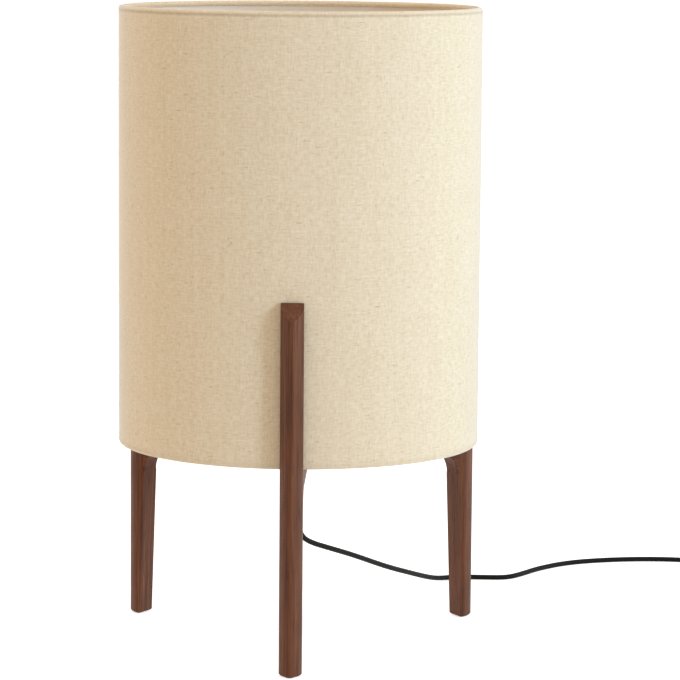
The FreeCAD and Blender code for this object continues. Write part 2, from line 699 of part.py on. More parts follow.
# Threaded tube with its washers and nuts, which clamps the hub block to the plate.
on_axis(turned("nipple", tube_section("nipple_bore", "nipple_radius", "nipple_base", "nipple_top")))
thread_room = "nipple_radius + running_gap"
washer_levels = {"washer_lower": "arm_underside - washer_thickness", "washer_upper": "plate_top"}
for name, level in washer_levels.items():
    on_axis(turned(name, tube_section(thread_room, "washer_radius", level, level + " + washer_thickness")))
for name, level in {"nut_lower": "lower_nut_base", "nut_upper": "upper_nut_base"}.items():
    nut = new_body(name)
    corner = "nut_flat * 2 / sqrt(3)"
    nut_corners = [
        (corner, "0"),
        (corner + " / 2", "nut_flat"),
        ("-" + corner + " / 2", "nut_flat"),
        ("-" + corner, "0"),
        ("-" + corner + " / 2", "-nut_flat"),
        (corner + " / 2", "-nut_flat"),
    ]
    pad(nut, outline(nut, "XY_Plane", nut_corners, level), "nut_height")
    cut(nut, discs(nut, "XY_Plane", bore, level), "nut_height", reverse=True)
    on_axis(nut)

# Strain relief under the hub, and the cord's end that runs up through it into the lampholder.
relief_shoulder = "lower_nut_base - relief_collar_height"
cord_room = "cord_radius + running_gap"
on_axis(turned("cord_relief", [
    (cord_room, "relief_base"),
    ("relief_tip", "relief_base"),
    ("relief_collar", relief_shoulder),
    ("relief_collar", "lower_nut_base"),
    (thread_room, "lower_nut_base"),
    (thread_room, "nipple_base"),
    (cord_room, "nipple_base"),
]))
sheath_section = [
    ("0", "relief_base"),
    ("cord_radius", "relief_base"),
    ("cord_radius", "sheath_top"),
    ("0", "sheath_top"),
]
on_axis(turned("cord_sheath_end", sheath_section))

# Lampholder: cap on the tube, insert with terminals and contacts, threaded sleeve, skirt.
neck_top = "holder_base + holder_neck"
dome_top = neck_top + " + holder_dome"
on_axis(turned("holder_cap", [
    (thread_room, "holder_base"),
    ("holder_collar", "holder_base"),
    ("holder_collar", neck_top),
    ("holder_radius", dome_top),
    ("holder_radius", "holder_split"),
    ("holder_radius - holder_wall", "holder_split"),
    ("holder_radius - holder_wall", dome_top + " + holder_wall / 2"),
    ("holder_collar - holder_wall / 2", neck_top + " + holder_wall / 2"),
    (thread_room, neck_top + " + holder_wall / 2"),
]))
insert = turned("holder_insert", [
    ("0", "insert_base"),
    ("insert_radius", "insert_base"),
    ("insert_radius", "sleeve_base"),
    ("sleeve_radius - sleeve_skin", "sleeve_base"),
    ("sleeve_radius - sleeve_skin", "insert_floor"),
    ("0", "insert_floor"),
])
wire_holes = [
    ("terminal_spot", "0", "core_radius * 1.5"),
    ("-terminal_spot", "0", "core_radius * 1.5"),
]
cut(insert, discs(insert, "XY_Plane", wire_holes, "insert_base"), "insert_height", reverse=True)
on_axis(insert)

terminals = []
terminal_screws = []
for side in ("-", ""):
    corner = (side + "terminal_spot - terminal_side / 2", "-terminal_side / 2", "insert_base - terminal_side")
    block = box("terminal_block", ("terminal_side",) * 3, corner)
    level = "insert_base - terminal_side / 2"
    foot = (side + "terminal_spot", "-terminal_side", level)
    room = rod("terminal_bore", "terminal_screw + glue_gap", "terminal_side", foot, (across_axis, -90))
    terminals.append(minus("terminal", block, room))
    terminal_screws.append(rod("screw", "terminal_screw", "terminal_side * 0.9", foot, (across_axis, -90)))
on_axis(together("terminals", terminals))
on_axis(together("terminal_screws", terminal_screws))

tongue = new_body("holder_tongue")
tongue_top = "insert_floor + tongue_rise + tongue_skin"
tongue_outline = [
    ("tongue_reach", "insert_floor"),
    ("tongue_reach", "insert_floor + tongue_skin"),
    ("tongue_reach / 2", "insert_floor + tongue_skin"),
    ("tongue_width / 2", tongue_top),
    ("-tongue_width / 2", tongue_top),
    ("-tongue_width / 2", "insert_floor + tongue_rise"),
    ("tongue_width / 2 - tongue_skin / 2", "insert_floor + tongue_rise"),
    ("tongue_reach / 2 - tongue_skin / 2", "insert_floor"),
]
pad(tongue, outline(tongue, "XZ_Plane", tongue_outline), "tongue_width", both_ways=True)
on_axis(tongue)

side_contact = new_body("holder_side_contact")
strip_back = "-(sleeve_radius - sleeve_skin - glue_gap)"
strip_outline = [
    ("-tongue_reach / 2", "insert_floor"),
    ("-tongue_reach / 2", "insert_floor + tongue_skin"),
    (strip_back + " + tongue_skin + glue_gap", "insert_floor + tongue_skin"),
    (strip_back + " + tongue_skin + glue_gap", "sleeve_base + insert_rim"),
    (strip_back + " + glue_gap", "sleeve_base + insert_rim"),
    (strip_back + " + glue_gap", "insert_floor"),
]
pad(side_contact, outline(side_contact, "XZ_Plane", strip_outline), "tongue_width / 2", both_ways=True)
on_axis(side_contact)

sleeve_top = "sleeve_base + sleeve_height"
sleeve_outside = "sleeve_radius + sleeve_skin"
on_axis(turned("holder_sleeve", tube_section("sleeve_radius", sleeve_outside, "sleeve_base", sleeve_top)))
skirt_inside = "insert_radius + glue_gap * 4"
skirt_mouth = "sleeve_radius + sleeve_skin + glue_gap * 4"
on_axis(turned("holder_skirt", [
    (skirt_inside, "holder_split"),
    ("holder_radius", "holder_split"),
    ("holder_radius", "skirt_top - edge_round"),
    ("holder_radius - edge_round", "skirt_top"),
    (skirt_mouth, "skirt_top"),
    (skirt_mouth, "sleeve_base"),
    (skirt_inside, "sleeve_base"),
]))

# Bulb: contact and insulator, screw cap, housing with its driver, board with chips, opal globe.
on_axis(turned("bulb_contact", [
    ("0", "bulb_base"),
    ("bulb_contact_radius / 2", "bulb_base"),
    ("bulb_contact_radius", "bulb_glass_base - bulb_cap_skin"),
    ("bulb_contact_radius", "bulb_glass_base"),
    ("0", "bulb_glass_base"),
]))
on_axis(turned("bulb_insulator", [
    ("0", "bulb_glass_base"),
    ("bulb_contact_radius", "bulb_glass_base"),
    ("bulb_glass_radius", "bulb_cap_base"),
    ("0", "bulb_cap_base"),
]))
on_axis(turned("bulb_cap", [
    ("bulb_glass_radius - bulb_cap_skin", "bulb_cap_base"),
    ("bulb_glass_radius", "bulb_cap_base"),
    ("bulb_cap_radius", "bulb_cap_base + bulb_contact_height"),
    ("bulb_cap_radius", "bulb_cap_top"),
    ("bulb_cap_radius - bulb_cap_skin", "bulb_cap_top"),
    ("bulb_cap_radius - bulb_cap_skin", "bulb_cap_base + bulb_contact_height"),
]))
neck_level = "bulb_cap_top + bulb_neck_height"
housing_inside = "bulb_housing_radius - bulb_housing_wall * 2"
on_axis(turned("bulb_housing", [
    ("bulb_cap_radius - bulb_housing_wall", "bulb_cap_top"),
    ("bulb_cap_radius + bulb_cap_skin", "bulb_cap_top"),
    ("bulb_neck_radius", neck_level),
    ("bulb_housing_radius", "bulb_seam"),
    (housing_inside + " + bulb_housing_wall", "bulb_seam"),
    (housing_inside + " + bulb_housing_wall", "board_base"),
    (housing_inside, "board_base"),
    ("bulb_neck_radius - bulb_housing_wall", neck_level),
]))
globe_top = "globe_middle + bulb_globe_radius"
globe_inside = "bulb_globe_radius - bulb_globe_wall"
globe_seat = "sqrt((bulb_globe_radius - bulb_globe_wall) ^ 2 - (globe_middle - bulb_seam) ^ 2)"
on_axis(turned("bulb_globe", [
    (globe_seat, "bulb_seam"),
    ("bulb_housing_radius", "bulb_seam", ("left", "x", "0")),
    ("0", globe_top),
    ("0", globe_top + " - bulb_globe_wall", ("right", "x", "0")),
]))
on_axis(turned("led_board", tube_section("0", "led_board_radius", "board_base", "bulb_seam")))
chip_count = 12
chips = []
for index in range(chip_count):
    chip = box("chip", ("led_side", "led_side", "led_height"), ("0", "0", "0"))
    turn = FreeCAD.Rotation(upright_axis, 360 * index / chip_count)
    near_side = worth("led_ring_radius - led_side / 2")
    corner = FreeCAD.Vector(near_side, -worth("led_side / 2"), worth("bulb_seam"))
    chip.Placement = FreeCAD.Placement(turn.multVec(corner), turn)
    chips.append(chip)
on_axis(together("led_chips", chips))
driver_base = "board_base - driver_height"
driver_corner = ("-driver_width / 2", "-driver_thickness / 2", driver_base)
driver = box("driver_board", ("driver_width", "driver_thickness", "driver_height"), driver_corner)
on_axis(together("driver_boards", [driver]))
capacitor_side = "-(driver_thickness / 2 + capacitor_radius + glue_gap)"
capacitor_foot = ("0", capacitor_side, "board_base - capacitor_height * 1.5")
capacitor = rod("capacitor", "capacitor_radius", "capacitor_height", capacitor_foot)
on_axis(together("driver_capacitor", [capacitor]))


# Drum shade: linen rolled over a wire ring at each end, a stiff liner, and the two rings.
top_ring = "shade_top - fold_radius"
top_turn = "shade_top - fold_radius * 2"
bottom_ring = "shade_base + fold_radius"
bottom_turn = "shade_base + fold_radius * 2"
roll_inside = "shade_radius - fold_radius * 2"
ring_inside = roll_inside + " + fabric_skin"
on_axis(turned("shade_linen", [
    ("shade_radius", bottom_ring),
    ("shade_radius", top_ring, ("left", "y", top_ring)),
    (roll_inside, top_ring, ("left", "x", "ring_path")),
    ("ring_path", top_turn),
    ("ring_path", top_turn + " + fabric_skin", ("right", "x", "ring_path")),
    (ring_inside, top_ring, ("right", "y", top_ring)),
    ("wall_inside", top_ring),
    ("wall_inside", bottom_ring, ("right", "y", bottom_ring)),
    (ring_inside, bottom_ring, ("right", "x", "ring_path")),
    ("ring_path", bottom_turn + " - fabric_skin"),
    ("ring_path", bottom_turn, ("left", "x", "ring_path")),
    (roll_inside, bottom_ring, ("left", "y", bottom_ring)),
]))
liner_low = bottom_ring + " + ring_wire"
liner_high = top_ring + " - ring_wire"
on_axis(turned("shade_liner", tube_section("liner_inside", "wall_inside", liner_low, liner_high)))
for name, level in {"shade_ring_top": top_ring, "shade_ring_bottom": bottom_ring}.items():
    ring = doc.addObject("Part::Torus", name)
    ring.Label = name
    tie(ring, "Radius1", "ring_path")
    tie(ring, "Radius2", "ring_wire")
    on_axis(ring)
    tie(ring, "Placement.Base.z", level)


def smooth_wire(points):
    # Straight runs, joined by arcs that touch both and take 0.45 of the shorter run.
    bends = []
    for index in range(1, len(points) - 1):
        back = points[index - 1] - points[index]
        ahead = points[index + 1] - points[index]
        reach = bend_share * min(back.Length, ahead.Length)
        back.normalize()
        ahead.normalize()
        half_turn = (math.pi - back.getAngle(ahead)) / 2
        radius = reach / math.tan(half_turn)
        toward = back + ahead
        toward.normalize()
        middle = points[index] + toward * (radius / math.cos(half_turn) - radius)
        bends.append((points[index] + back * reach, middle, points[index] + ahead * reach, radius))
    edges = []
    spot = points[0]
    for begin, middle, end, radius in bends:
        edges.append(Part.LineSegment(spot, begin).toShape())
        edges.append(Part.Arc(begin, middle, end).toShape())
        spot = end
    edges.append(Part.LineSegment(spot, points[-1]).toShape())
    return edges, [bend[3] for bend in bends]


def swept(name, edges, radius):
    # One round tube along the joined edges. Its volume has to be its section times its length.
    wire = Part.Wire(edges)
    start = edges[0].valueAt(edges[0].FirstParameter)
    heading = edges[0].tangentAt(edges[0].FirstParameter)
    section = Part.Wire([Part.Circle(start, heading, radius).toShape()])
    shape = wire.makePipeShell([section], True, False)
    expected = math.pi * radius * radius * wire.Length
    print(name, "length", round(wire.Length, 1), "volume over section times length", shape.Volume / expected)
    piece = doc.addObject("Part::Feature", name)
    piece.Label = name
    piece.Shape = shape
    piece.Placement = FreeCAD.Placement()
    return piece, wire.Length


# Cores of the cord inside the lampholder, from the cord's end to the two terminals.
bend_share = 0.45
for name, side in {"core_live": -1, "core_neutral": 1}.items():
    from_cord = side * worth("live_offset")
    to_terminal = side * worth("terminal_spot")
    low = worth("sheath_top")
    high = worth("insert_base - terminal_side")
    rise = (high - low) * 0.4
    core_points = [
        FreeCAD.Vector(from_cord, 0, low),
        FreeCAD.Vector(from_cord, 0, low + rise),
        FreeCAD.Vector(to_terminal, 0, high - rise),
        FreeCAD.Vector(to_terminal, 0, high),
    ]
    core_edges, core_bends = smooth_wire(core_points)
    on_axis(swept(name, core_edges, worth("core_radius"))[0])
    print(name, "bend radii", [round(bend, 2) for bend in core_bends])

# Mains cord: straight out of the relief, down through the air behind the front leg, then along the floor
# in the curves it lies in, to the switch.
relief_end = FreeCAD.Vector(0, worth("axis_offset"), worth("relief_base"))
cord_route = [
    (0, 10.5, 121),
    (0, 10.5, 105),
    (0.2, 11.5, 92),
    (4, 17, 81),
    (12.5, 29.5, 74),
    (26, 48, 66.5),
    (46, 82, 54),
    (74, 133, 34),
    (96.5, 181, 18.8),
    (109, 211, 9.8),
    (120, 235, 3.4),
    (137, 249.5, 2.25),
    (161, 248.5, 2.25),
    (184, 248.5, 2.25),
    (198, 267, 2.25),
    (214, 293.5, 2.25),
    (242, 322.5, 2.25),
    (278, 338, 2.25),
    (316, 345, 2.25),
    (354, 343, 2.25),
    (388, 326, 2.25),
    (407, 298, 3.4),
    (410, 270, 7),
    (410, 249, 7),
]
route_points = [FreeCAD.Vector(*point) for point in cord_route]
free_edges, free_bends = smooth_wire(route_points)
cord_free, free_length = swept("cord_free", free_edges, worth("cord_radius"))
subparts.append(cord_free)
print("cord starts", (route_points[0] - relief_end).Length, "from the relief")
print("cord bend radii", [round(bend, 1) for bend in free_bends])

# Coil: turns inwards on the lower layer, climbs, and turns outwards on the upper layer.
cord_x = route_points[-1].x
coil_turns = 5
turning = math.pi * coil_turns
turn_pitch = worth("turn_pitch")
coil_core = worth("coil_core")
coil_reach = coil_core + turn_pitch * coil_turns / 2
coil_row = worth("coil_row")
coil_middle = FreeCAD.Vector(cord_x - coil_reach, coil_row, 0)
lower_level = worth("coil_floor")
upper_level = worth("coil_upper")


def coil_spot(angle):
    # A point of the coil, and the direction there. The angle runs clockwise seen from above.
    past = angle - turning
    radius = coil_core + turn_pitch * abs(past) / (2 * math.pi)
    swell = 0 if past == 0 or angle in (0, 2 * turning) else math.copysign(turn_pitch / (2 * math.pi), past)
    climb = min(max(past + math.pi / 2, 0), math.pi)
    height = lower_level + (upper_level - lower_level) * (1 - math.cos(climb)) / 2
    steep = (upper_level - lower_level) * math.sin(climb) / 2
    outward = FreeCAD.Vector(math.cos(angle), -math.sin(angle), 0)
    onward = FreeCAD.Vector(-math.sin(angle), -math.cos(angle), 0)
    spot = coil_middle + outward * radius + FreeCAD.Vector(0, 0, height)
    heading = outward * swell + onward * radius + FreeCAD.Vector(0, 0, steep)
    heading.normalize()
    return spot, heading


def arc_middle(start, heading, end):
    # The middle of the arc from start to end that leaves along the heading.
    chord = end - start
    along = chord * (1 / chord.Length)
    aside = heading - along * heading.dot(along)
    angle = math.atan2(aside.Length, heading.dot(along))
    aside.normalize()
    return start + chord * 0.5 + aside * (chord.Length / 2 * math.tan(angle / 2))


def arc_pair(start, start_heading, end, end_heading):
    # Two arcs that touch each other and both headings.
    step = end - start
    both = start_heading + end_heading
    spread = 2 * (1 - start_heading.dot(end_heading))
    share = step.dot(both)
    reach = (-share + math.sqrt(share * share + spread * step.dot(step))) / spread
    middle = (start + start_heading * reach + end - end_heading * reach) * 0.5
    return [
        Part.Arc(start, arc_middle(start, start_heading, middle), middle).toShape(),
        Part.Arc(middle, arc_middle(end, end_heading * -1, middle), end).toShape(),
    ]


lead_in = [
    FreeCAD.Vector(cord_x, 215, worth("switch_split")),
    FreeCAD.Vector(cord_x, 196, worth("switch_split")),
    FreeCAD.Vector(cord_x, 170, lower_level),
    FreeCAD.Vector(cord_x, coil_row, lower_level),
]
plug_axis = worth("plug_thickness / 2")
lead_out = [
    FreeCAD.Vector(cord_x, coil_row, upper_level),
    FreeCAD.Vector(cord_x, 106, upper_level),
    FreeCAD.Vector(cord_x, 73, plug_axis),
    FreeCAD.Vector(cord_x, 45, plug_axis),
]
coil_edges, lead_bends = smooth_wire(lead_in)
knots = [coil_spot(index * math.pi / 2) for index in range(4 * coil_turns + 1)]
for (start, start_heading), (end, end_heading) in zip(knots, knots[1:]):
    coil_edges += arc_pair(start, start_heading, end, end_heading)
tail_edges, tail_bends = smooth_wire(lead_out)
coil_edges += tail_edges
cord_coil, coil_length = swept("cord_coil", coil_edges, worth("cord_radius"))
subparts.append(cord_coil)
print("coil lead bend radii", [round(bend, 1) for bend in lead_bends + tail_bends])
turn_radii = [edge.Curve.Radius for edge in coil_edges if isinstance(edge.Curve, Part.Circle)]
print("tightest bend of the coil", round(min(turn_radii), 1))

# The least distance between two turns, on points along the coil that lie over two diameters apart on it.
trail = []
passed = 0
for edge in coil_edges:
    steps = max(2, int(edge.Length / worth("cord_radius")))
    for index in range(steps):
        share = edge.FirstParameter + (edge.LastParameter - edge.FirstParameter) * index / steps
        trail.append((passed + edge.Length * index / steps, edge.valueAt(share)))
    passed += edge.Length
nearest = min(
    (first[1] - second[1]).Length
    for index, first in enumerate(trail)
    for second in trail[index + 1:]
    if second[0] - first[0] > worth("cord_diameter * 3")
)
print("least gap between turns of the coil", round(nearest - worth("cord_diameter"), 3))
hidden_length = worth("sheath_top - relief_base + switch_cave_length")
print("whole cord, from the lampholder to the plug", round(free_length + coil_length + hidden_length, 1))


def rounded(body, plane, half_across, low, high, corner, lift="0"):
    # A rectangle with round corners, half on each side of the upright line.
    left = "-" + half_across
    right = half_across
    return outline(body, plane, [
        (right + " - " + corner, low, ("left", "x", right + " - " + corner)),
        (right, low + " + " + corner),
        (right, high + " - " + corner, ("left", "y", high + " - " + corner)),
        (right + " - " + corner, high),
        (left + " + " + corner, high, ("left", "x", left + " + " + corner)),
        (left, high + " - " + corner),
        (left, low + " + " + corner, ("left", "y", low + " + " + corner)),
        (left + " + " + corner, low),
    ], lift)


# Strap round the coil, on the side away from the lamp's front.
strap = new_body("cord_tie")
bundle_half = "(turn_pitch * 2 + cord_diameter) / 2 + tie_slack"
strap_top = "coil_upper + cord_radius + tie_slack + tie_skin"
strap_outside = "(" + bundle_half + " + tie_skin)"
strap_outline = rounded(strap, "YZ_Plane", strap_outside, "0", strap_top, "tie_corner")
pad(strap, strap_outline, "tie_width", both_ways=True)
inner_half = "(" + bundle_half + ")"
inner_corner = "(tie_corner - tie_skin)"
inner_room = rounded(strap, "YZ_Plane", inner_half, "tie_skin", strap_top + " - tie_skin", inner_corner)
cut(strap, inner_room, "tie_width", both_ways=True)
bundle_radius = worth("coil_core + turn_pitch * 5 / 4")
at_spot(strap, coil_middle + FreeCAD.Vector(0, -bundle_radius, 0))

# Cord switch: two halves screwed together, with the cord in at both ends.
switch_spot = FreeCAD.Vector(cord_x, (route_points[-1].y + lead_in[0].y) / 2, 0)
half_length = "switch_length / 2"
cave_outline = [
    ("switch_width / 2 - switch_wall", "-switch_cave_length / 2"),
    ("switch_width / 2 - switch_wall", "switch_cave_length / 2"),
    ("-(switch_width / 2 - switch_wall)", "switch_cave_length / 2"),
    ("-(switch_width / 2 - switch_wall)", "-switch_cave_length / 2"),
]
channel = [("0", "switch_split", "cord_radius + glue_gap")]
screw_spots = [("case_screw_across", "case_screw_along"), ("-case_screw_across", "-case_screw_along")]


def make_half(name, low, height):
    half = new_body(name)
    plan = rounded(half, "XY_Plane", "switch_width / 2", "-" + half_length, half_length, "switch_corner", low)
    pad(half, plan, height)
    return half


lower_half = make_half("switch_base", "0", "switch_split")
dressed(lower_half, "Fillet", "case_round / 2", lambda edge: all_at(edge, "z", "0"))
cut(lower_half, outline(lower_half, "XY_Plane", cave_outline, "switch_split"), "switch_split - switch_wall")
cut(lower_half, discs(lower_half, "XZ_Plane", channel), "switch_length", both_ways=True)
heads = [(across, along, "case_screw_head + glue_gap") for across, along in screw_spots]
cut(lower_half, discs(lower_half, "XY_Plane", heads), "case_screw_sink * 2", reverse=True)
shanks = [(across, along, "case_screw + glue_gap") for across, along in screw_spots]
cut(lower_half, discs(lower_half, "XY_Plane", shanks), "switch_split", reverse=True)
at_spot(lower_half, switch_spot)

upper_half = make_half("switch_cover", "switch_split", "switch_cover_height")
dressed(upper_half, "Fillet", "case_round", lambda edge: all_at(edge, "z", "case_top"))
cave_height = "switch_cover_height - switch_wall"
cut(upper_half, outline(upper_half, "XY_Plane", cave_outline, "switch_split"), cave_height, reverse=True)
cut(upper_half, discs(upper_half, "XZ_Plane", channel), "switch_length", both_ways=True)
cut(upper_half, discs(upper_half, "XY_Plane", shanks, "switch_split"), "case_screw_length / 2", reverse=True)
opening_across = "rocker_width / 2 + rocker_side_gap"
for side in ("-", ""):
    near_side = side + "(" + opening_across + ")"
    far_side = side + "(" + opening_across + " + rocker_rib)"
    rib_outline = [
        (near_side, "-rocker_rib_length / 2"),
        (far_side, "-rocker_rib_length / 2"),
        (far_side, "rocker_rib_length / 2"),
        (near_side, "rocker_rib_length / 2"),
    ]
    rib_height = "rocker_pivot_drop + rocker_rib_drop - switch_wall"
    rib = outline(upper_half, "XY_Plane", rib_outline, "case_top - switch_wall")
    pad(upper_half, rib, rib_height, reverse=True)
opening = [
    (opening_across, "-(rocker_length / 2 + rocker_gap)"),
    (opening_across, "rocker_length / 2 + rocker_gap"),
    ("-(" + opening_across + ")", "rocker_length / 2 + rocker_gap"),
    ("-(" + opening_across + ")", "-(rocker_length / 2 + rocker_gap)"),
]
cut(upper_half, outline(upper_half, "XY_Plane", opening, "case_top"), "switch_wall * 1.1")
pin_room = [("0", "rocker_pivot", "rocker_pin + running_gap")]
pin_length = "rocker_width + (rocker_side_gap + rocker_rib) * 2"
cut(upper_half, discs(upper_half, "YZ_Plane", pin_room), pin_length + " + glue_gap", both_ways=True)
at_spot(upper_half, switch_spot)

case_screws = []
for across, along in screw_spots:
    foot = FreeCAD.Vector(worth(across), worth(along), 0)
    screw_sizes = ("case_screw", "case_screw_head", "case_screw_sink", "case_screw_length")
    screw = make_screw("case_screw", FreeCAD.Vector(), "0", *screw_sizes)
    screw.Placement = FreeCAD.Placement(
        foot + FreeCAD.Vector(0, 0, worth("case_screw_sink / 2")), FreeCAD.Rotation(across_axis, 180)
    )
    case_screws.append(screw)
at_spot(together("switch_screws", case_screws), switch_spot)

# What is inside the switch: one core runs through, the other is cut and ends on two contact blocks.
half_cave = "switch_cave_length / 2"
through_foot = ("live_offset", half_cave, "switch_split")
core_through = rod("core_through", "core_radius", "switch_cave_length", through_foot, (across_axis, 90))
live_ends = []
blocks = []
for side, turn in (("", 90), ("-", -90)):
    foot = ("-live_offset", side + half_cave, "switch_split")
    live_ends.append(rod("live_end", "core_radius", "live_length", foot, (across_axis, turn)))
    corner = ("-block_width", side + "block_spot - block_length / 2", "switch_wall")
    block_height = "switch_split - core_radius - switch_wall"
    blocks.append(box("contact_block", ("block_width", "block_length", block_height), corner))
at_spot(together("switch_cores", [core_through] + live_ends), switch_spot)
at_spot(together("switch_contacts", blocks), switch_spot)
spring_corner = ("-block_width", "-block_spot", "switch_split - core_radius")
spring = box("spring", ("spring_width", "block_spot * 2", "spring_skin"), spring_corner)
at_spot(together("switch_spring", [spring]), switch_spot)

# Rocker with its pin, drawn level and then tilted to its rest side.
rocker = new_body("switch_rocker")
rocker_outline = [
    ("-rocker_length / 2", "rocker_end_height"),
    ("-rocker_length / 2", "-rocker_skirt / 2"),
    ("-rocker_length / 4", "-rocker_skirt"),
    ("rocker_length / 4", "-rocker_skirt"),
    ("rocker_length / 2", "-rocker_skirt / 2"),
    ("rocker_length / 2", "rocker_end_height"),
    ("0", "rocker_waist_height"),
]
pad(rocker, outline(rocker, "YZ_Plane", rocker_outline), "rocker_width", both_ways=True)
cut(rocker, discs(rocker, "YZ_Plane", [("0", "0", "rocker_pin + glue_gap")]), "rocker_width", both_ways=True)
rest_tilt = worth("rocker_tilt")
pivot_spot = switch_spot + FreeCAD.Vector(0, 0, worth("rocker_pivot"))
at_spot(rocker, pivot_spot, (across_axis, rest_tilt))
half_pin = "(" + pin_length + ") / 2"
pin_foot = ("-" + half_pin, "0", "0")
pin = rod("rocker_pin_rod", "rocker_pin", pin_length, pin_foot, (along_axis, 90))
at_spot(together("switch_rocker_pin", [pin]), pivot_spot, (across_axis, rest_tilt))

# Plug: flat two-pin body, a grooved strain relief, and two pins with insulating sleeves.
plug_tip = FreeCAD.Vector(cord_x, lead_out[-1].y, plug_axis)
plug_relief = turned("plug_relief", [
    ("0", "0"),
    ("plug_relief_tip", "0"),
    ("plug_relief_root", "plug_relief_length"),
    ("0", "plug_relief_length"),
])
groove_level_shares = (0.22, 0.4, 0.58, 0.76)
for share in groove_level_shares:
    groove = plug_relief.newObject("PartDesign::Groove", "plug_relief_groove")
    level = "plug_relief_length * " + str(share)
    surface = "plug_relief_tip + (plug_relief_root - plug_relief_tip) * " + str(share)
    groove_section = [
        (surface + " - plug_groove", level),
        ("plug_relief_root + plug_groove", level),
        ("plug_relief_root + plug_groove", level + " + plug_groove * 2"),
        (surface + " - plug_groove", level + " + plug_groove * 2"),
    ]
    groove.Profile = outline(plug_relief, "XZ_Plane", groove_section)
    groove.ReferenceAxis = (groove.Profile[0], ["V_Axis"])
    groove.Angle = 360
    doc.recompute()
at_spot(plug_relief, plug_tip, (across_axis, 90))

plug = new_body("plug_body")
plug_plan = [
    ("plug_tail_width / 2", "0"),
    ("plug_width / 2", "plug_length - plug_shoulder"),
    ("plug_width / 2", "plug_length"),
    ("-plug_width / 2", "plug_length"),
    ("-plug_width / 2", "plug_length - plug_shoulder"),
    ("-plug_tail_width / 2", "0"),
]
pad(plug, outline(plug, "XZ_Plane", plug_plan), "plug_thickness", both_ways=True)
dressed(plug, "Fillet", "plug_round", lambda edge: not all_at(edge, "z", "plug_length"))
pin_spots = [
    ("pin_spacing / 2", "0", "pin_core + glue_gap"),
    ("-pin_spacing / 2", "0", "pin_core + glue_gap"),
]
cut(plug, discs(plug, "XY_Plane", pin_spots, "plug_length"), "pin_root")
at_spot(plug, plug_tip + FreeCAD.Vector(0, -worth("plug_relief_length"), 0), (across_axis, 90))

pins = []
sleeves = []
for side in ("-", ""):
    across = side + "pin_spacing / 2"
    root = rod("pin_root", "pin_core", "pin_root + pin_sleeve", (across, "0", "-pin_root"))
    tip_foot = (across, "0", "pin_sleeve")
    tip = rod("pin_tip", "pin_radius", "pin_length - pin_sleeve - pin_radius", tip_foot)
    end = doc.addObject("Part::Cone", "pin_end")
    tie(end, "Radius1", "pin_radius")
    tie(end, "Radius2", "pin_radius / 2")
    tie(end, "Height", "pin_radius")
    tie(end, "Placement.Base.x", across)
    tie(end, "Placement.Base.z", "pin_length - pin_radius")
    whole = doc.addObject("Part::MultiFuse", "pin")
    whole.Shapes = [root, tip, end]
    pins.append(whole)
    outer = rod("sleeve_outside", "pin_radius", "pin_sleeve", (across, "0", "0"))
    inner = rod("sleeve_inside", "pin_core + glue_gap / 2", "pin_sleeve", (across, "0", "0"))
    sleeves.append(minus("sleeve", outer, inner))
plug_face = plug_tip + FreeCAD.Vector(0, -worth("plug_relief_length + plug_length"), 0)
at_spot(together("plug_pins", pins), plug_face, (across_axis, 90))
at_spot(together("plug_sleeves", sleeves), plug_face, (across_axis, 90))

doc.recompute()
for item in doc.Objects:
    if "Invalid" in item.State or "Error" in item.State:
        raise RuntimeError(item.Label + " isn't built: " + item.getStatusString())
for piece in subparts:
    if piece.Shape.isNull() or not piece.Shape.isValid():
        raise RuntimeError(piece.Label + " has no valid shape")

os.makedirs("parts", exist_ok=True)
for piece in subparts:
    piece.Shape.exportStep(os.path.join("parts", piece.Label + ".step"))
print(len(subparts), "pieces written")
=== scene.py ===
import json
import math

import bmesh
import bpy
from mathutils import Matrix, Vector, noise


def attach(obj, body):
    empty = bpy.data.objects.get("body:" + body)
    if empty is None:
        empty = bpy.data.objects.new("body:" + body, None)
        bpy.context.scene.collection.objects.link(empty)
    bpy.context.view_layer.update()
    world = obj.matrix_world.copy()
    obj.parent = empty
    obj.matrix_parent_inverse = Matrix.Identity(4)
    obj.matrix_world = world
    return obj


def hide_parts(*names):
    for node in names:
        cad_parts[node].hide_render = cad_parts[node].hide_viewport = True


# A table lamp: linen drum shade on three dark wooden legs, with its cord, switch and plug. Metres, Z up.

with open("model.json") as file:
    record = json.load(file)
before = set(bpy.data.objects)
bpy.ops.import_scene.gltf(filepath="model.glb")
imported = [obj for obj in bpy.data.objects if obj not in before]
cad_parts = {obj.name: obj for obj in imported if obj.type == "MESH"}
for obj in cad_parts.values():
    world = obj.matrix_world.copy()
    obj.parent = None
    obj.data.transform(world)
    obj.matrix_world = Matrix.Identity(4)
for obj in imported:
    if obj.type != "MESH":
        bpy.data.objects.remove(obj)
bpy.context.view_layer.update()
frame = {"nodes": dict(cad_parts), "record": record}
cadNodes = frame["nodes"]
mm = 0.001
lampAxis = Vector((0, 0.0105, 0))
print("frame loaded:", len(cadNodes), "nodes")


# Materials: small helpers

def linear(hexCode):
    # an sRGB hex colour as linear red, green, blue, alpha
    channels = [int(hexCode[at:at + 2], 16) / 255 for at in (0, 2, 4)]
    return [c / 12.92 if c <= 0.04045 else ((c + 0.055) / 1.055) ** 2.4 for c in channels] + [1]


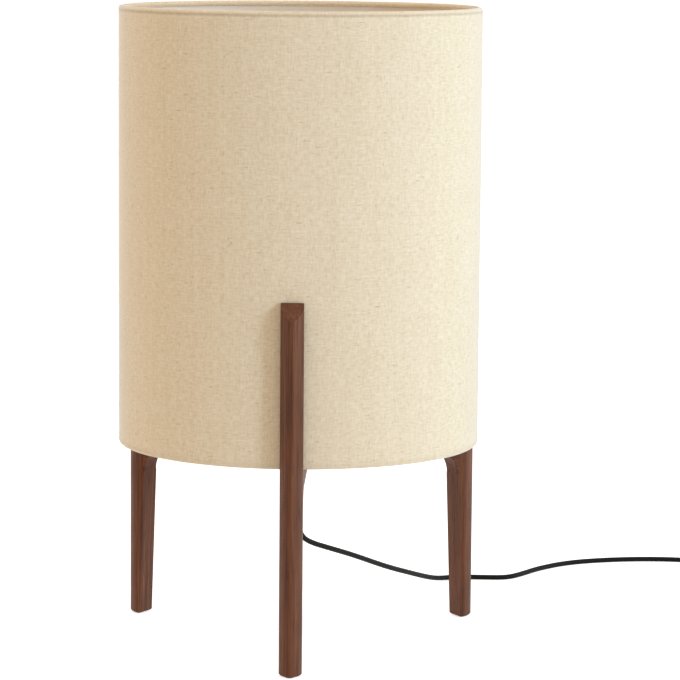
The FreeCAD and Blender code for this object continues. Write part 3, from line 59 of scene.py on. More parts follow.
def addNode(tree, kind, inputs=None, stops=None, **settings):
    # one node, its settings, its colour stops, and its inputs as values or as other nodes
    node = tree.nodes.new("ShaderNode" + kind)
    for name, value in settings.items():
        setattr(node, name, value)
    if stops:
        while len(node.color_ramp.elements) < len(stops):
            node.color_ramp.elements.new(1)
        for element, (place, hexCode) in zip(node.color_ramp.elements, stops):
            element.position = place
            element.color = linear(hexCode)
    for name, value in (inputs or {}).items():
        if isinstance(value, bpy.types.Node):
            value = value.outputs[0]
        if isinstance(value, bpy.types.NodeSocket):
            tree.links.new(value, node.inputs[name])
        else:
            node.inputs[name].default_value = value
    return node


def newMaterial(name, sockets):
    # a material with its shader's uniform values set on the shader itself
    material = bpy.data.materials.new(name)
    material.use_nodes = True
    tree = material.node_tree
    shader = tree.nodes["Principled BSDF"]
    for socket, value in sockets.items():
        shader.inputs[socket].default_value = value
    return material, tree, shader


def mottle(tree, points, cell, turn=0.0, detail=1, rough=0.5):
    # soft unevenness, 0 to 1, whose cells are this many millimetres along the turned axes
    place = addNode(tree, "Mapping", {
        "Vector": points,
        "Location": lampAxis,
        "Rotation": (0, 0, turn),
        "Scale": [size * mm for size in cell],
    }, vector_type="TEXTURE")
    return addNode(tree, "TexNoise", {"Vector": place, "Scale": 1.0, "Detail": detail, "Roughness": rough})


def combine(tree, patterns, shares):
    # a sum of patterns, each with its share
    total = None
    for pattern, share in zip(patterns, shares):
        part = addNode(tree, "Math", {0: pattern, 1: share}, operation="MULTIPLY")
        total = part if total is None else addNode(tree, "Math", {0: total, 1: part}, operation="ADD")
    return total


def coverSurface(tree, shader, colour, height, relief, roughness=None):
    # the colour, the uneven gloss and a relief of (depth in millimetres, strength), joined to the shader
    depth, strength = relief
    bump = addNode(tree, "Bump", {"Height": height, "Distance": depth * mm, "Strength": strength})
    tree.links.new(colour, shader.inputs["Base Color"])
    tree.links.new(bump.outputs["Normal"], shader.inputs["Normal"])
    if roughness:
        tree.links.new(roughness.outputs[0], shader.inputs["Roughness"])


# Materials: the lamp's own finishes

# sizes in millimetres
linenLook = {
    "thread": 1.45,                # spacing of threads; the real 0.6 mm is finer than a pixel, so drawn wider
    "slubLength": 6,               # how long a thick place in a thread is
    "streakLength": 120,           # faint long streaks of a thicker yarn
    "warpStreak": 3,               # width of a streak up the shade, in threads
    "weftStreak": 2,               # width of a streak round the shade, in threads
    "patch": 24,                   # soft lighter and darker patches of the cloth
    "toneShares": (0.34, 0.38, 0.12, 0.06, 0.10),
    "tones": [(0.32, "DBC3A0"), (0.50, "E7D1B0"), (0.68, "EFDEC1")],
    "lyingFleck": (8, 1.5, 1),     # a brown fleck that lies round the shade
    "standingFleck": (1.3, 4, 1),  # and one that stands up it
    "fleckRange": {"From Min": 0.67, "From Max": 0.79, "To Min": 0, "To Max": 0.5},
    "fleck": "B39369",
    # colour of the painted shade line in the crease where the wall leaves each rolled edge
    "creaseShade": "A08A68",
    "creaseShadeShares": (0.12, 0.38),    # how dark the painted shade line is at the lower and at the upper end
    "creaseShadeHalf": (0.3, 1.9),        # a painted shade line's half width where it is full and where it has faded out
    "reliefShares": (0.5, 0.5, 0.25),
    "relief": (0.15, 0.4),
    "sockets": {"Roughness": 0.86, "Specular IOR Level": 0.2, "Sheen Weight": 1.0, "Sheen Roughness": 0.32},
}


def wovenLinen(wallEnds):
    # undyed plain-woven linen bonded to a film: matt, uneven yarns both ways, brown flecks
    look = linenLook
    material, tree, shader = newMaterial("wovenLinen", look["sockets"])
    cloth = addNode(tree, "UVMap", uv_map="cloth")
    thread, slub, streak, patch = look["thread"], look["slubLength"], look["streakLength"], look["patch"]
    warp = mottle(tree, cloth, (thread, slub, 1))
    weft = mottle(tree, cloth, (slub, thread, 1))
    longWarp = mottle(tree, cloth, (thread * look["warpStreak"], streak, 1))
    longWeft = mottle(tree, cloth, (streak, thread * look["weftStreak"], 1))
    patches = mottle(tree, cloth, (patch, patch, 1), detail=3)
    tone = combine(tree, (warp, weft, longWarp, longWeft, patches), look["toneShares"])
    colour = addNode(tree, "ValToRGB", {"Fac": tone}, stops=look["tones"])
    lying = mottle(tree, cloth, look["lyingFleck"])
    standing = mottle(tree, cloth, look["standingFleck"])
    flecks = addNode(tree, "Math", {0: lying, 1: standing}, operation="MAXIMUM")
    fleckShare = addNode(tree, "MapRange", {"Value": flecks, **look["fleckRange"]})
    flecked = addNode(tree, "Mix", {0: fleckShare, 6: colour, 7: linear(look["fleck"])}, data_type="RGBA")
    # painted shade: a faint dark line in the crease where the wall leaves the ring at each end
    along = addNode(tree, "SeparateXYZ", {"Vector": cloth}).outputs["Y"]
    full, faded = look["creaseShadeHalf"]
    lines = None
    for level, share in zip(wallEnds, look["creaseShadeShares"]):
        away = addNode(tree, "Math", {0: along, 1: level}, operation="SUBTRACT")
        near = addNode(tree, "Math", {0: away}, operation="ABSOLUTE")
        line = addNode(tree, "MapRange", {
            "Value": near, "From Min": full * mm, "From Max": faded * mm, "To Min": share, "To Max": 0,
        })
        lines = line if lines is None else addNode(tree, "Math", {0: lines, 1: line}, operation="MAXIMUM")
    creaseShaded = addNode(tree, "Mix", {0: lines, 6: flecked.outputs[2], 7: linear(look["creaseShade"])}, data_type="RGBA")
    height = combine(tree, (warp, weft, flecks), look["reliefShares"])
    coverSurface(tree, shader, creaseShaded.outputs[2], height, look["relief"])
    return material


woodLook = {
    # each layer: length along the grain and width across it in millimetres, and how fine its detail is
    "bands": (150, 3.4, 2),
    "figure": (60, 9, 3),
    "fine": (34, 0.55, 1),
    "pores": (16, 0.9, 1),
    "toneShares": (0.4, 0.25, 0.35),
    "tones": [(0.34, "452818"), (0.48, "623924"), (0.60, "73452D"), (0.70, "875538")],
    "pore": "341D12",
    "poreRange": {"From Min": 0.58, "From Max": 0.74, "To Min": 0, "To Max": 0.35},
    "glossRange": {"From Min": 0.3, "From Max": 0.7, "To Min": 0.4, "To Max": 0.6},
    "reliefShares": (-0.7, 0.3),
    "relief": (0.1, 0.5),
    "sockets": {"Specular IOR Level": 0.12},
}


def grained(tree, points, turn, alongX, layer):
    # unevenness drawn out along the grain, which runs up a post and outwards along an arm
    length, width, detail = woodLook[layer]
    cell = (length, width, width) if alongX else (width, width, length)
    return mottle(tree, points, cell, turn, detail)


def stainedWalnut(name, turn, alongX):
    # walnut-stained hardwood, planed, sanded and oiled: dark pores and slow bands of tone
    look = woodLook
    material, tree, shader = newMaterial(name, look["sockets"])
    points = addNode(tree, "TexCoord").outputs["Object"]
    bands, figure, fine, pores = [
        grained(tree, points, turn, alongX, layer) for layer in ("bands", "figure", "fine", "pores")]
    tone = combine(tree, (bands, figure, fine), look["toneShares"])
    colour = addNode(tree, "ValToRGB", {"Fac": tone}, stops=look["tones"])
    poreShare = addNode(tree, "MapRange", {"Value": pores, **look["poreRange"]})
    pored = addNode(tree, "Mix", {0: poreShare, 6: colour, 7: linear(look["pore"])}, data_type="RGBA")
    gloss = addNode(tree, "MapRange", {"Value": pores, **look["glossRange"]})
    height = combine(tree, (pores, fine), look["reliefShares"])
    coverSurface(tree, shader, pored.outputs[2], height, look["relief"], gloss)
    return material


# slot: name, dark, light, cell in mm, roughness low and high, relief in mm, other sockets
plainFinishes = {
    # turned and left bare: pale and matt, with fine flecks along the dowel
    "dowel_wood": ("bareBeech", "B98F5F", "D8B98C", (1.2, 1.2, 9), 0.55, 0.7, 0.05, {}),
    # injection-moulded: milky and a little waxy
    "glide_plastic": ("polyethyleneGlide", "CFCAC0", "E2DED5", (2, 2, 2), 0.4, 0.55, 0.03, {}),
    # stamped and zinc-plated: a bright cool grey, softly cloudy
    "zinc_steel": ("zincPlatedSteel", "A9ACAE", "C8CACB", (5, 5, 5), 0.28, 0.42, 0.02, {"Metallic": 1.0}),
    # extruded vinyl on the cores: even colours, half gloss
    "core_brown": ("brownCore", "5E3320", "733F27", (2, 2, 2), 0.35, 0.45, 0.01, {}),
    "core_blue": ("blueCore", "27518A", "3463A0", (2, 2, 2), 0.35, 0.45, 0.01, {}),
    # pressed phenolic: deep black with a dull shine
    "holder_plastic": ("blackPhenolic", "1C1C1D", "2A2A2B", (1.5, 1.5, 1.5), 0.3, 0.45, 0.02, {}),
    # pressed and fired: off-white and chalky
    "holder_ceramic": ("steatite", "DAD4C6", "F0ECE2", (1.2, 1.2, 1.2), 0.6, 0.8, 0.05, {}),
    # stamped: yellow and bright
    "brass": ("stampedBrass", "B98F3E", "D6AE5A", (4, 4, 1), 0.22, 0.38, 0.02, {"Metallic": 1.0}),
    # fused glass: black and shiny
    "bulb_black": ("blackGlassBead", "111112", "1E1E20", (3, 3, 3), 0.12, 0.2, 0.02, {}),
    # rolled: bright, with faint lines round the cap
    "bulb_metal": ("rolledAluminiumCap", "B4B6B8", "CFD0D1", (6, 6, 0.8), 0.25, 0.4, 0.03, {"Metallic": 1.0}),
    # moulded and coated: clean white, half gloss
    "bulb_housing_white": ("whiteBulbHousing", "E4E4DF", "F2F2EE", (2, 2, 2), 0.38, 0.5, 0.02, {}),
    # blown: milky, with a soft shine
    "bulb_opal": ("opalDiffuser", "EFEDE6", "F7F5F0", (14, 14, 14), 0.25, 0.35, 0.01, {}),
    # printed on: a flat white
    "board_metal": ("whiteSolderMask", "DCDCD8", "EDEDEA", (3, 3, 3), 0.3, 0.45, 0.01, {}),
    # cast over the chips: a strong yellow, shiny
    "led_yellow": ("phosphorResin", "D9B438", "EFD05C", (0.8, 0.8, 0.8), 0.2, 0.35, 0.02, {}),
    # laminated: green, with the glass weave just showing
    "board_green": ("glassFibreBoard", "24573A", "357A51", (0.8, 0.8, 6), 0.4, 0.5, 0.02, {}),
    # shrunk on: dark blue-grey and even
    "capacitor_dark": ("shrinkSleeve", "1B2730", "2B3B47", (4, 4, 10), 0.3, 0.4, 0.01, {}),
    # dipped: creamy white, half gloss
    "shade_wire": ("enamelledWire", "E6E3DB", "F6F4EF", (3, 3, 3), 0.35, 0.5, 0.03, {}),
    # rolled film: warm white and smooth, faintly cloudy
    "shade_liner": ("backingFilm", "FAEAD2", "FEF3E2", (22, 22, 22), 0.5, 0.65, 0.04, {}),
    # moulded in a textured tool: black with a fine matt grain
    "switch_plastic": ("blackSwitchPlastic", "19191A", "262627", (0.9, 0.9, 0.9), 0.42, 0.6, 0.03, {}),
    # moulded in a polished tool: a little lighter and glossier than the case
    "rocker_plastic": ("rockerPlastic", "232324", "323233", (1.2, 1.2, 1.2), 0.3, 0.42, 0.02, {}),
    # drawn and plated: bright, with faint lines along the pin
    "pin_metal": ("nickelPlatedBrass", "C2C0BB", "DAD8D3", (1, 5, 1), 0.16, 0.28, 0.01, {"Metallic": 1.0}),
    # extruded: soft black, nearly matt
    "cord_sheath": (
        "blackVinylSheath", "12110D", "1C1A15", (3, 3, 3), 0.5, 0.65, 0.02, {"Specular IOR Level": 0.08}),
}

plainPattern = {
    "cloudSize": 6,                # in cells of the fine grain
    "toneShares": (0.6, 0.4),
    "darkStop": 0.38,
    "lightStop": 0.62,
    "grainRange": {"From Min": 0.35, "From Max": 0.65},
    "reliefStrength": 0.5,
}


def plainFinish(slotName):
    # plastics, metals and the like: two close tones, uneven gloss, and a fine skin
    name, dark, light, cell, glossy, dull, depth, sockets = plainFinishes[slotName]
    look = plainPattern
    material, tree, shader = newMaterial(name, sockets)
    points = addNode(tree, "TexCoord").outputs["Object"]
    grain = mottle(tree, points, cell, detail=3, rough=0.6)
    cloud = mottle(tree, points, [size * look["cloudSize"] for size in cell])
    tone = combine(tree, (grain, cloud), look["toneShares"])
    tones = [(look["darkStop"], dark), (look["lightStop"], light)]
    colour = addNode(tree, "ValToRGB", {"Fac": tone}, stops=tones)
    glossRange = {**look["grainRange"], "To Min": glossy, "To Max": dull}
    gloss = addNode(tree, "MapRange", {"Value": grain, **glossRange})
    coverSurface(tree, shader, colour.outputs[0], grain, (depth, look["reliefStrength"]), gloss)
    return material


tapeLook = {
    "nap": (0.35, 0.35, 0.35),
    "ribs": (0.6, 6, 6),
    "toneShares": (0.6, 0.4),
    "tones": [(0.35, "17171A"), (0.65, "34343A")],
    "relief": (0.3, 0.8),
    "sockets": {"Roughness": 0.9, "Sheen Weight": 0.5},
}


def loopTape():
    # woven hook-and-loop tape: a fuzzy black nap over a tight weave
    look = tapeLook
    material, tree, shader = newMaterial("hookAndLoopTape", look["sockets"])
    points = addNode(tree, "TexCoord").outputs["Object"]
    nap = mottle(tree, points, look["nap"], detail=3)
    ribs = mottle(tree, points, look["ribs"])
    tone = combine(tree, (nap, ribs), look["toneShares"])
    colour = addNode(tree, "ValToRGB", {"Fac": tone}, stops=look["tones"])
    coverSurface(tree, shader, colour.outputs[0], nap, look["relief"])
    return material


def slotMaterials(wallEnds):
    found = {slotName: plainFinish(slotName) for slotName in plainFinishes}
    found["tie_fabric"] = loopTape()
    found["shade_linen"] = wovenLinen(wallEnds)
    found["walnut_stained_wood"] = stainedWalnut("stainedWalnutUpright", 0.0, False)
    return found


# plan angle at which each arm runs out from the hub, in degrees
armTurns = {"arm_front": -90, "arm_right": 30, "arm_left": 150}


def dressNodes(materials):
    # every CAD node gets the finish of its slot; an arm's grain runs along the arm
    for entry in frame["record"]["subparts"]:
        node = cadNodes[entry["node"]]
        material = materials[entry["material_slot"]]
        if entry["node"] in armTurns:
            turn = math.radians(armTurns[entry["node"]])
            material = stainedWalnut("stainedWalnut_" + entry["node"], turn, True)
        if node.material_slots:
            for holder in node.material_slots:
                holder.material = material
        else:
            node.data.materials.append(material)


# Pieces: small helpers

def newObject(name, data):
    made = bpy.data.objects.new(name, data)
    bpy.context.scene.collection.objects.link(made)
    return made


def newMesh(name, shape, material):
    # a bmesh made into a mesh of one material
    mesh = bpy.data.meshes.new(name)
    shape.to_mesh(mesh)
    shape.free()
    mesh.materials.append(material)
    return mesh


def newPiece(name, shape, material, body, sharp, replaced=()):
    # a smooth-shaded piece that rides on a body; edges past the sharp angle stay crisp
    mesh = newMesh(name, shape, material)
    mesh.shade_smooth()
    mesh.set_sharp_from_angle(angle=math.radians(sharp))
    piece = newObject(name, mesh)
    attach(piece, body)
    if replaced:
        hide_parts(*replaced)
    return piece


def addWall(piece, thickness, offset):
    # thickens a skin: offset -1 builds inwards, 0 to both sides
    wall = piece.modifiers.new("thickness", "SOLIDIFY")
    wall.thickness = thickness
    wall.offset = offset


def sectionLine(shape, corners, closed):
    # a line of edges in the XZ plane through the lamp's axis, from (radius, height) in millimetres
    spots = [shape.verts.new((radius * mm, lampAxis.y, height * mm)) for radius, height in corners]
    ends = spots[1:] + spots[:1] if closed else spots[1:]
    return spots, [shape.edges.new(pair) for pair in zip(spots, ends)]


def turned(shape, corners, steps, closed=True):
    spots, edges = sectionLine(shape, corners, closed)
    bmesh.ops.spin(
        shape, geom=spots + edges, cent=lampAxis, axis=(0, 0, 1), angle=2 * math.pi, steps=steps,
        use_merge=True)
    bmesh.ops.remove_doubles(shape, verts=shape.verts, dist=0.001 * mm)
    bmesh.ops.recalc_face_normals(shape, faces=shape.faces)


def faceOutwards(shape, sample):
    # turns a skin over where this face of it looks at the lamp's axis
    if sample.normal.xy.dot((sample.calc_center_median() - lampAxis).xy) < 0:
        bmesh.ops.reverse_faces(shape, faces=shape.faces)


# Cord

# in metres
cordSizes = {
    "diameter": 0.0045,
    "freeLength": 0.697,
    "coiledLength": 1.011,
    "coilMiddle": (0.377, 0.145),
    "coilCore": 0.0205,            # radius at which the turns start
    "turns": 5,
    "turnPitch": 0.005,
    "lowerLayer": 0.0031,
    "upperLayer": 0.0081,
    "pointsPerTurn": 24,
    "freeSmoothness": 10,
    "coilSmoothness": 4,
    "roundness": 5,
}

lampCordRoute = [
    (0, 0.0105, 0.121), (0, 0.0105, 0.105), (0.0002, 0.0115, 0.092), (0.004, 0.017, 0.081),
    (0.0125, 0.0295, 0.074), (0.026, 0.048, 0.0665), (0.046, 0.082, 0.054), (0.074, 0.133, 0.034),
    (0.0965, 0.181, 0.0188), (0.109, 0.211, 0.0098), (0.120, 0.235, 0.0034), (0.137, 0.2495, 0.00225),
    (0.161, 0.2485, 0.00225), (0.184, 0.2485, 0.00225), (0.198, 0.267, 0.00225), (0.214, 0.2935, 0.00225),
    (0.242, 0.3225, 0.00225), (0.278, 0.338, 0.00225), (0.316, 0.345, 0.00225), (0.354, 0.343, 0.00225),
    (0.388, 0.326, 0.00225), (0.407, 0.298, 0.0034), (0.410, 0.270, 0.007), (0.410, 0.249, 0.007),
]
intoCoil = [(0.410, 0.215, 0.007), (0.410, 0.196, 0.007), (0.410, 0.170, 0.0031)]
outOfCoil = [(0.410, 0.106, 0.0081), (0.410, 0.073, 0.00685), (0.410, 0.045, 0.00685)]


def coilRoute():
    # from the switch down into the coil, inwards below, outwards above, and on to the plug
    sizes = cordSizes
    middle = Vector(sizes["coilMiddle"])
    half = math.pi * sizes["turns"]
    route = []
    count = sizes["turns"] * sizes["pointsPerTurn"]
    for index in range(count + 1):
        past = 2 * half * index / count - half
        radius = sizes["coilCore"] + sizes["turnPitch"] * abs(past) / (2 * math.pi)
        climb = min(max(past + math.pi / 2, 0), math.pi)
        height = sizes["lowerLayer"] + (sizes["upperLayer"] - sizes["lowerLayer"]) * (1 - math.cos(climb)) / 2
        angle = past + half
        route.append((middle.x + radius * math.cos(angle), middle.y - radius * math.sin(angle), height))
    return intoCoil + route + outOfCoil


def cordPiece(name, route, smoothness, material, replaced):
    curve = bpy.data.curves.new(name, "CURVE")
    curve.dimensions = "3D"
    spline = curve.splines.new("NURBS")
    spline.points.add(len(route) - 1)
    for point, place in zip(spline.points, route):
        point.co = (*place, 1)
    spline.order_u = 3
    spline.use_endpoint_u = True
    spline.resolution_u = smoothness
    curve.bevel_depth = cordSizes["diameter"] / 2
    curve.bevel_resolution = cordSizes["roundness"]
    curve.use_fill_caps = True
    curve.materials.append(material)
    piece = newObject(name, curve)
    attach(piece, "frame")
    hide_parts(replaced)
    return piece


def makeCords(materials):
    sheath = materials["cord_sheath"]
    lampCord = cordPiece("lamp_cord", lampCordRoute, cordSizes["freeSmoothness"], sheath, "cord_free")
    route = coilRoute()
    coiledCord = cordPiece("coiled_cord", route, cordSizes["coilSmoothness"], sheath, "cord_coil")
    print("cords laid")


# in metres
tieSizes = {
    "middle": (0.377, 0.11825),
    "width": 0.009,
    "strips": 3,                   # the strap's width is made in this many strips
    "half": 0.00795,
    "top": 0.01185,
    "skin": 0.0008,
    "corner": 0.0016,
    "cornerSteps": 4,
    "hiddenEnd": 0.003,            # the strap's lower end, beyond its middle
    # the end that laps over the top: beyond the middle, above the strap
    "lap": [(0.004, 0.0002), (0.0015, 0.0008), (-0.0035, 0.0008), (-0.006, 0.0005)],
}


def tiePath():
    # the strap's line across the coil's turns, round its four corners and over itself
    sizes = tieSizes
    half, bend = sizes["half"], sizes["corner"]
    low, high = sizes["skin"] / 2, sizes["top"] - sizes["skin"] * 1.5
    path = [(sizes["hiddenEnd"], high), (-half + bend, high)]
    corners = [(-1, high - bend, 90), (-1, low + bend, 180), (1, low + bend, 270), (1, high - bend, 0)]
    for side, level, start in corners:
        for step in range(1, sizes["cornerSteps"] + 1):
            angle = math.radians(start + step * 90 / sizes["cornerSteps"])
            path.append((side * (half - bend) + bend * math.cos(angle), level + bend * math.sin(angle)))
    return path + [(across, high + above) for across, above in sizes["lap"]]


def makeTie(materials):
    # a strap once round the coil's turns, its end lapping over the top
    sizes = tieSizes
    shape = bmesh.new()
    left, middle = sizes["middle"][0] - sizes["width"] / 2, sizes["middle"][1]
    spots = [shape.verts.new((left, middle + across, level)) for across, level in tiePath()]
    edges = [shape.edges.new(pair) for pair in zip(spots, spots[1:])]
    for _ in range(sizes["strips"]):
        made = bmesh.ops.extrude_edge_only(shape, edges=edges)["geom"]
        moved = [item for item in made if isinstance(item, bmesh.types.BMVert)]
        edges = [item for item in made if isinstance(item, bmesh.types.BMEdge)]
        bmesh.ops.translate(shape, verts=moved, vec=(sizes["width"] / sizes["strips"], 0, 0))
    fabric = materials["tie_fabric"]
    tie = newPiece("hook_and_loop_tie", shape, fabric, "frame", 60, ["cord_tie"])
    addWall(tie, sizes["skin"], 0)
    return tie


# Shade

# in millimetres
shadeSizes = {
    "radius": 150.0,
    "base": 165.3,
    "top": 528.3,
    "fold": 2.45,                  # outer radius of the rolled edge
    "rollSteps": 18,
    "rollStep": 15,                # degrees
    "rises": (0.9, 1.7, 2.3, 2.9, 3.5, 4.2, 5.2, 6.6, 8.6, 11.5),
    "skin": 0.6,
    "bead": 0.16,                  # how far the rolled edge stands proud of the wall
    "beadMiddle": 1.9,             # in from the rim
    "beadHalf": 2.3,
    "swell": 0.18,                 # how far the stretched wall stands proud
    "swellStart": 4.6,             # in from the rim
    "swellOver": 2.0,
    "wave": 0.12,                  # unevenness of the wall
    "rippleAround": 9,             # short waves
    "rippleHeight": 26,
    "slowAround": 2.1,             # long waves
    "slowHeight": 120,
    "slowShift": 7,
    "outerBand": 0.5,              # what lies this close to the radius is the outer face
    "wallLeaves": 3.4,             # in from the rim, where the wall leaves the ring
    "around": 320,
    "wallRows": 44,
    "lapWidth": 14.0,
    "lapSteps": 6,
    "lapReach": 2.2,               # how far the lap follows the rolled edge inwards
    "lapLift": 0.8,                # in skins
    "lapSkin": 0.9,                # in skins
}


def clothSection():
    # the cloth's outer face from its lower edge, tucked in over the ring, round to its upper one
    sizes = shadeSizes
    fold = sizes["fold"]
    ring = sizes["radius"] - fold
    lowRing = sizes["base"] + fold
    half = []
    for step in range(sizes["rollSteps"] + 1):
        angle = math.radians(90 + sizes["rollStep"] * step)
        half.append((ring + fold * math.cos(angle), lowRing + fold * math.sin(angle)))
    half += [(sizes["radius"], lowRing + rise) for rise in sizes["rises"]]
    mirror = sizes["base"] + sizes["top"]
    low, high = half[-1][1], mirror - half[-1][1]
    rows = sizes["wallRows"]
    wall = [(sizes["radius"], low + (high - low) * row / rows) for row in range(1, rows)]
    return half + wall + [(radius, mirror - height) for radius, height in reversed(half)]


def clothLengths(section):
    lengths = [0.0]
    for (radius, height), (nextRadius, nextHeight) in zip(section, section[1:]):
        lengths.append(lengths[-1] + math.hypot(nextRadius - radius, nextHeight - height))
    return lengths


def findWallEnds():
    # the cloth's lengths at which its wall leaves the rings, for the painted shade lines in the creases there
    sizes = shadeSizes
    section = clothSection()
    lengths = clothLengths(section)
    wall = [at for at, spot in enumerate(section) if spot[0] > sizes["radius"] - 0.1]
    levels = (sizes["base"] + sizes["wallLeaves"], sizes["top"] - sizes["wallLeaves"])
    return [lengths[min(wall, key=lambda at: abs(section[at][1] - level))] * mm for level in levels]


def proud(height):
    # how far the cloth stands out of its plain section at this height, before its unevenness
    sizes = shadeSizes
    inset = min(height - sizes["base"], sizes["top"] - height)
    bead = max(0.0, 1 - ((inset - sizes["beadMiddle"]) / sizes["beadHalf"]) ** 2)
    flat = min(1.0, max(0.0, (inset - sizes["swellStart"]) / sizes["swellOver"]))
    return sizes["bead"] * bead ** 0.5 + sizes["swell"] * flat * flat * (3 - 2 * flat)


def unevenness(out, height):
    # the stretched wall's short and long waves, in millimetres
    sizes = shadeSizes
    around, slowAround = sizes["rippleAround"], sizes["slowAround"]
    ripple = noise.noise(Vector((out.x * around, out.y * around, height / sizes["rippleHeight"])))
    slow = noise.noise(Vector((
        out.x * slowAround, out.y * slowAround, height / sizes["slowHeight"] + sizes["slowShift"])))
    return sizes["wave"] * (ripple + slow) / 2


def layClothUv(shape, alongLayer):
    # the cloth's flat lengths in metres, round the shade and along its section
    clothUv = shape.loops.layers.uv.new("cloth")
    for face in shape.faces:
        centre = face.calc_center_median() - lampAxis
        middle = math.atan2(centre.x, -centre.y)
        for loop in face.loops:
            place = loop.vert.co - lampAxis
            turn = math.atan2(place.x, -place.y) - middle
            turn = (turn + math.pi) % (2 * math.pi) - math.pi
            loop[clothUv].uv = ((middle + turn) * shadeSizes["radius"] * mm, loop.vert[alongLayer])


def clothShape(section, lengths, startAngle, sweep, steps, lift):
    # the section turned about the lamp's axis and made uneven
    shape = bmesh.new()
    alongLayer = shape.verts.layers.float.new("along")
    spots, edges = sectionLine(shape, section, False)
    for spot, along in zip(spots, lengths):
        spot[alongLayer] = along * mm
    bmesh.ops.rotate(
        shape, verts=spots, cent=lampAxis, matrix=Matrix.Rotation(math.radians(startAngle), 3, "Z"))
    bmesh.ops.spin(
        shape, geom=spots + edges, cent=lampAxis, axis=(0, 0, 1), angle=math.radians(sweep), steps=steps,
        use_merge=sweep >= 360)
    bmesh.ops.recalc_face_normals(shape, faces=shape.faces)
    faceOutwards(shape, max(shape.faces, key=lambda face: (face.calc_center_median() - lampAxis).xy.length))
    for spot in shape.verts:
        out = Vector((spot.co.x, spot.co.y - lampAxis.y, 0))
        radius, height = out.length / mm, spot.co.z / mm
        out.normalize()
        if radius > shadeSizes["radius"] - shadeSizes["outerBand"]:
            push = proud(height) + unevenness(out, height) + lift
            spot.co += out * max(push, 0.0) * mm
    layClothUv(shape, alongLayer)
    return shape


def makeShade(materials):
    sizes = shadeSizes
    cloth = materials["shade_linen"]
    section = clothSection()
    lengths = clothLengths(section)
    shape = clothShape(section, lengths, 90, 360, sizes["around"], 0)
    linen = newPiece("linen_cover", shape, cloth, "shade", 60, ["shade_linen"])
    addWall(linen, sizes["skin"] * mm, -1)
    # where the cloth's ends meet at the back, one laps over the other
    inner = sizes["radius"] - sizes["lapReach"]
    lapLengths, lapSection = zip(*[(along, spot) for along, spot in zip(lengths, section) if spot[0] > inner])
    sweep = math.degrees(sizes["lapWidth"] / sizes["radius"])
    lift = sizes["skin"] * sizes["lapLift"]
    shape = clothShape(lapSection, lapLengths, 90 - sweep / 2, sweep, sizes["lapSteps"], lift)
    lap = newPiece("linen_lap", shape, cloth, "shade", 60)
    addWall(lap, sizes["skin"] * sizes["lapSkin"] * mm, -1)
    print("shade covered")


# Cord relief, the cord in the tube, and the bulb's thread

reliefSizes = {
    # the tip and the head: (radius, height) in millimetres
    "tip": [(2.35, 121.0), (2.85, 121.0), (3.0, 121.3)],
    "head": [
        (5.7, 135.4), (6.2, 136.2), (6.4, 137.0), (6.4, 142.4), (6.1, 143.0), (5.05, 143.0), (5.05, 140.0),
        (2.35, 140.0),
    ],
    "ribs": 6,
    "firstRib": 122.0,
    "ribPitch": 2.15,
    "slimRadius": 3.0,
    "widening": 0.2,               # how much the radius grows for each millimetre up
    # one rib's corners: out from the radius, up from its foot
    "rib": [(0, 0), (0.3, 0.35), (0.35, 1.1), (-0.15, 1.35), (-0.15, 1.9)],
    "steps": 48,
}


def makeRelief(materials):
    # the moulded strain relief under the hub, ribbed so that it bends
    sizes = reliefSizes
    shape = bmesh.new()
    corners = list(sizes["tip"])
    for index in range(sizes["ribs"]):
        low = sizes["firstRib"] + index * sizes["ribPitch"]
        radius = sizes["slimRadius"] + (low - sizes["tip"][0][1]) * sizes["widening"]
        corners += [(radius + out, low + up) for out, up in sizes["rib"]]
    turned(shape, corners + sizes["head"], sizes["steps"])
    newPiece("ribbed_relief", shape, materials["cord_sheath"], "frame", 30, ["cord_relief"])


# (radius, height) in millimetres
sheathEndSizes = {
    "section": [(0.0, 121.0), (2.25, 121.0), (2.25, 179.0), (2.1, 179.1), (0.0, 179.1)],
    "steps": 24,
}


def makeSheathEnd(materials):
    # the cord where it runs up through the tube into the lampholder
    shape = bmesh.new()
    turned(shape, sheathEndSizes["section"], sheathEndSizes["steps"], closed=False)
    newPiece("cord_in_tube", shape, materials["cord_sheath"], "frame", 30, ["cord_sheath_end"])


# in millimetres
threadSizes = {
    "pitch": 3.63,
    "crest": 13.1,
    "root": 12.25,
    "base": 208.2,
    "top": 229.2,
    "tip": 11.0,                   # radius to which the thread narrows at its lower end
    "brim": 12.95,                 # radius to which it widens at its upper end
    "fade": 3.0,                   # over this height
    "skin": 0.25,
    "rows": 10,
    "perTurn": 48,
}


def fadeThread(shape):
    # draws the thread in at its lower end and out to the brim at its upper end
    sizes = threadSizes
    for spot in shape.verts:
        out = Vector((spot.co.x, spot.co.y - lampAxis.y, 0))
        height = spot.co.z / mm
        radius = out.length / mm
        lowShare = min(1.0, (height - sizes["base"]) / sizes["fade"])
        highShare = min(1.0, (sizes["top"] - height) / sizes["fade"])
        radius = sizes["tip"] + (radius - sizes["tip"]) * math.sqrt(max(lowShare, 0))
        radius += (sizes["brim"] - radius) * (1 - highShare)
        out.normalize()
        spot.co = lampAxis + out * radius * mm + Vector((0, 0, spot.co.z))


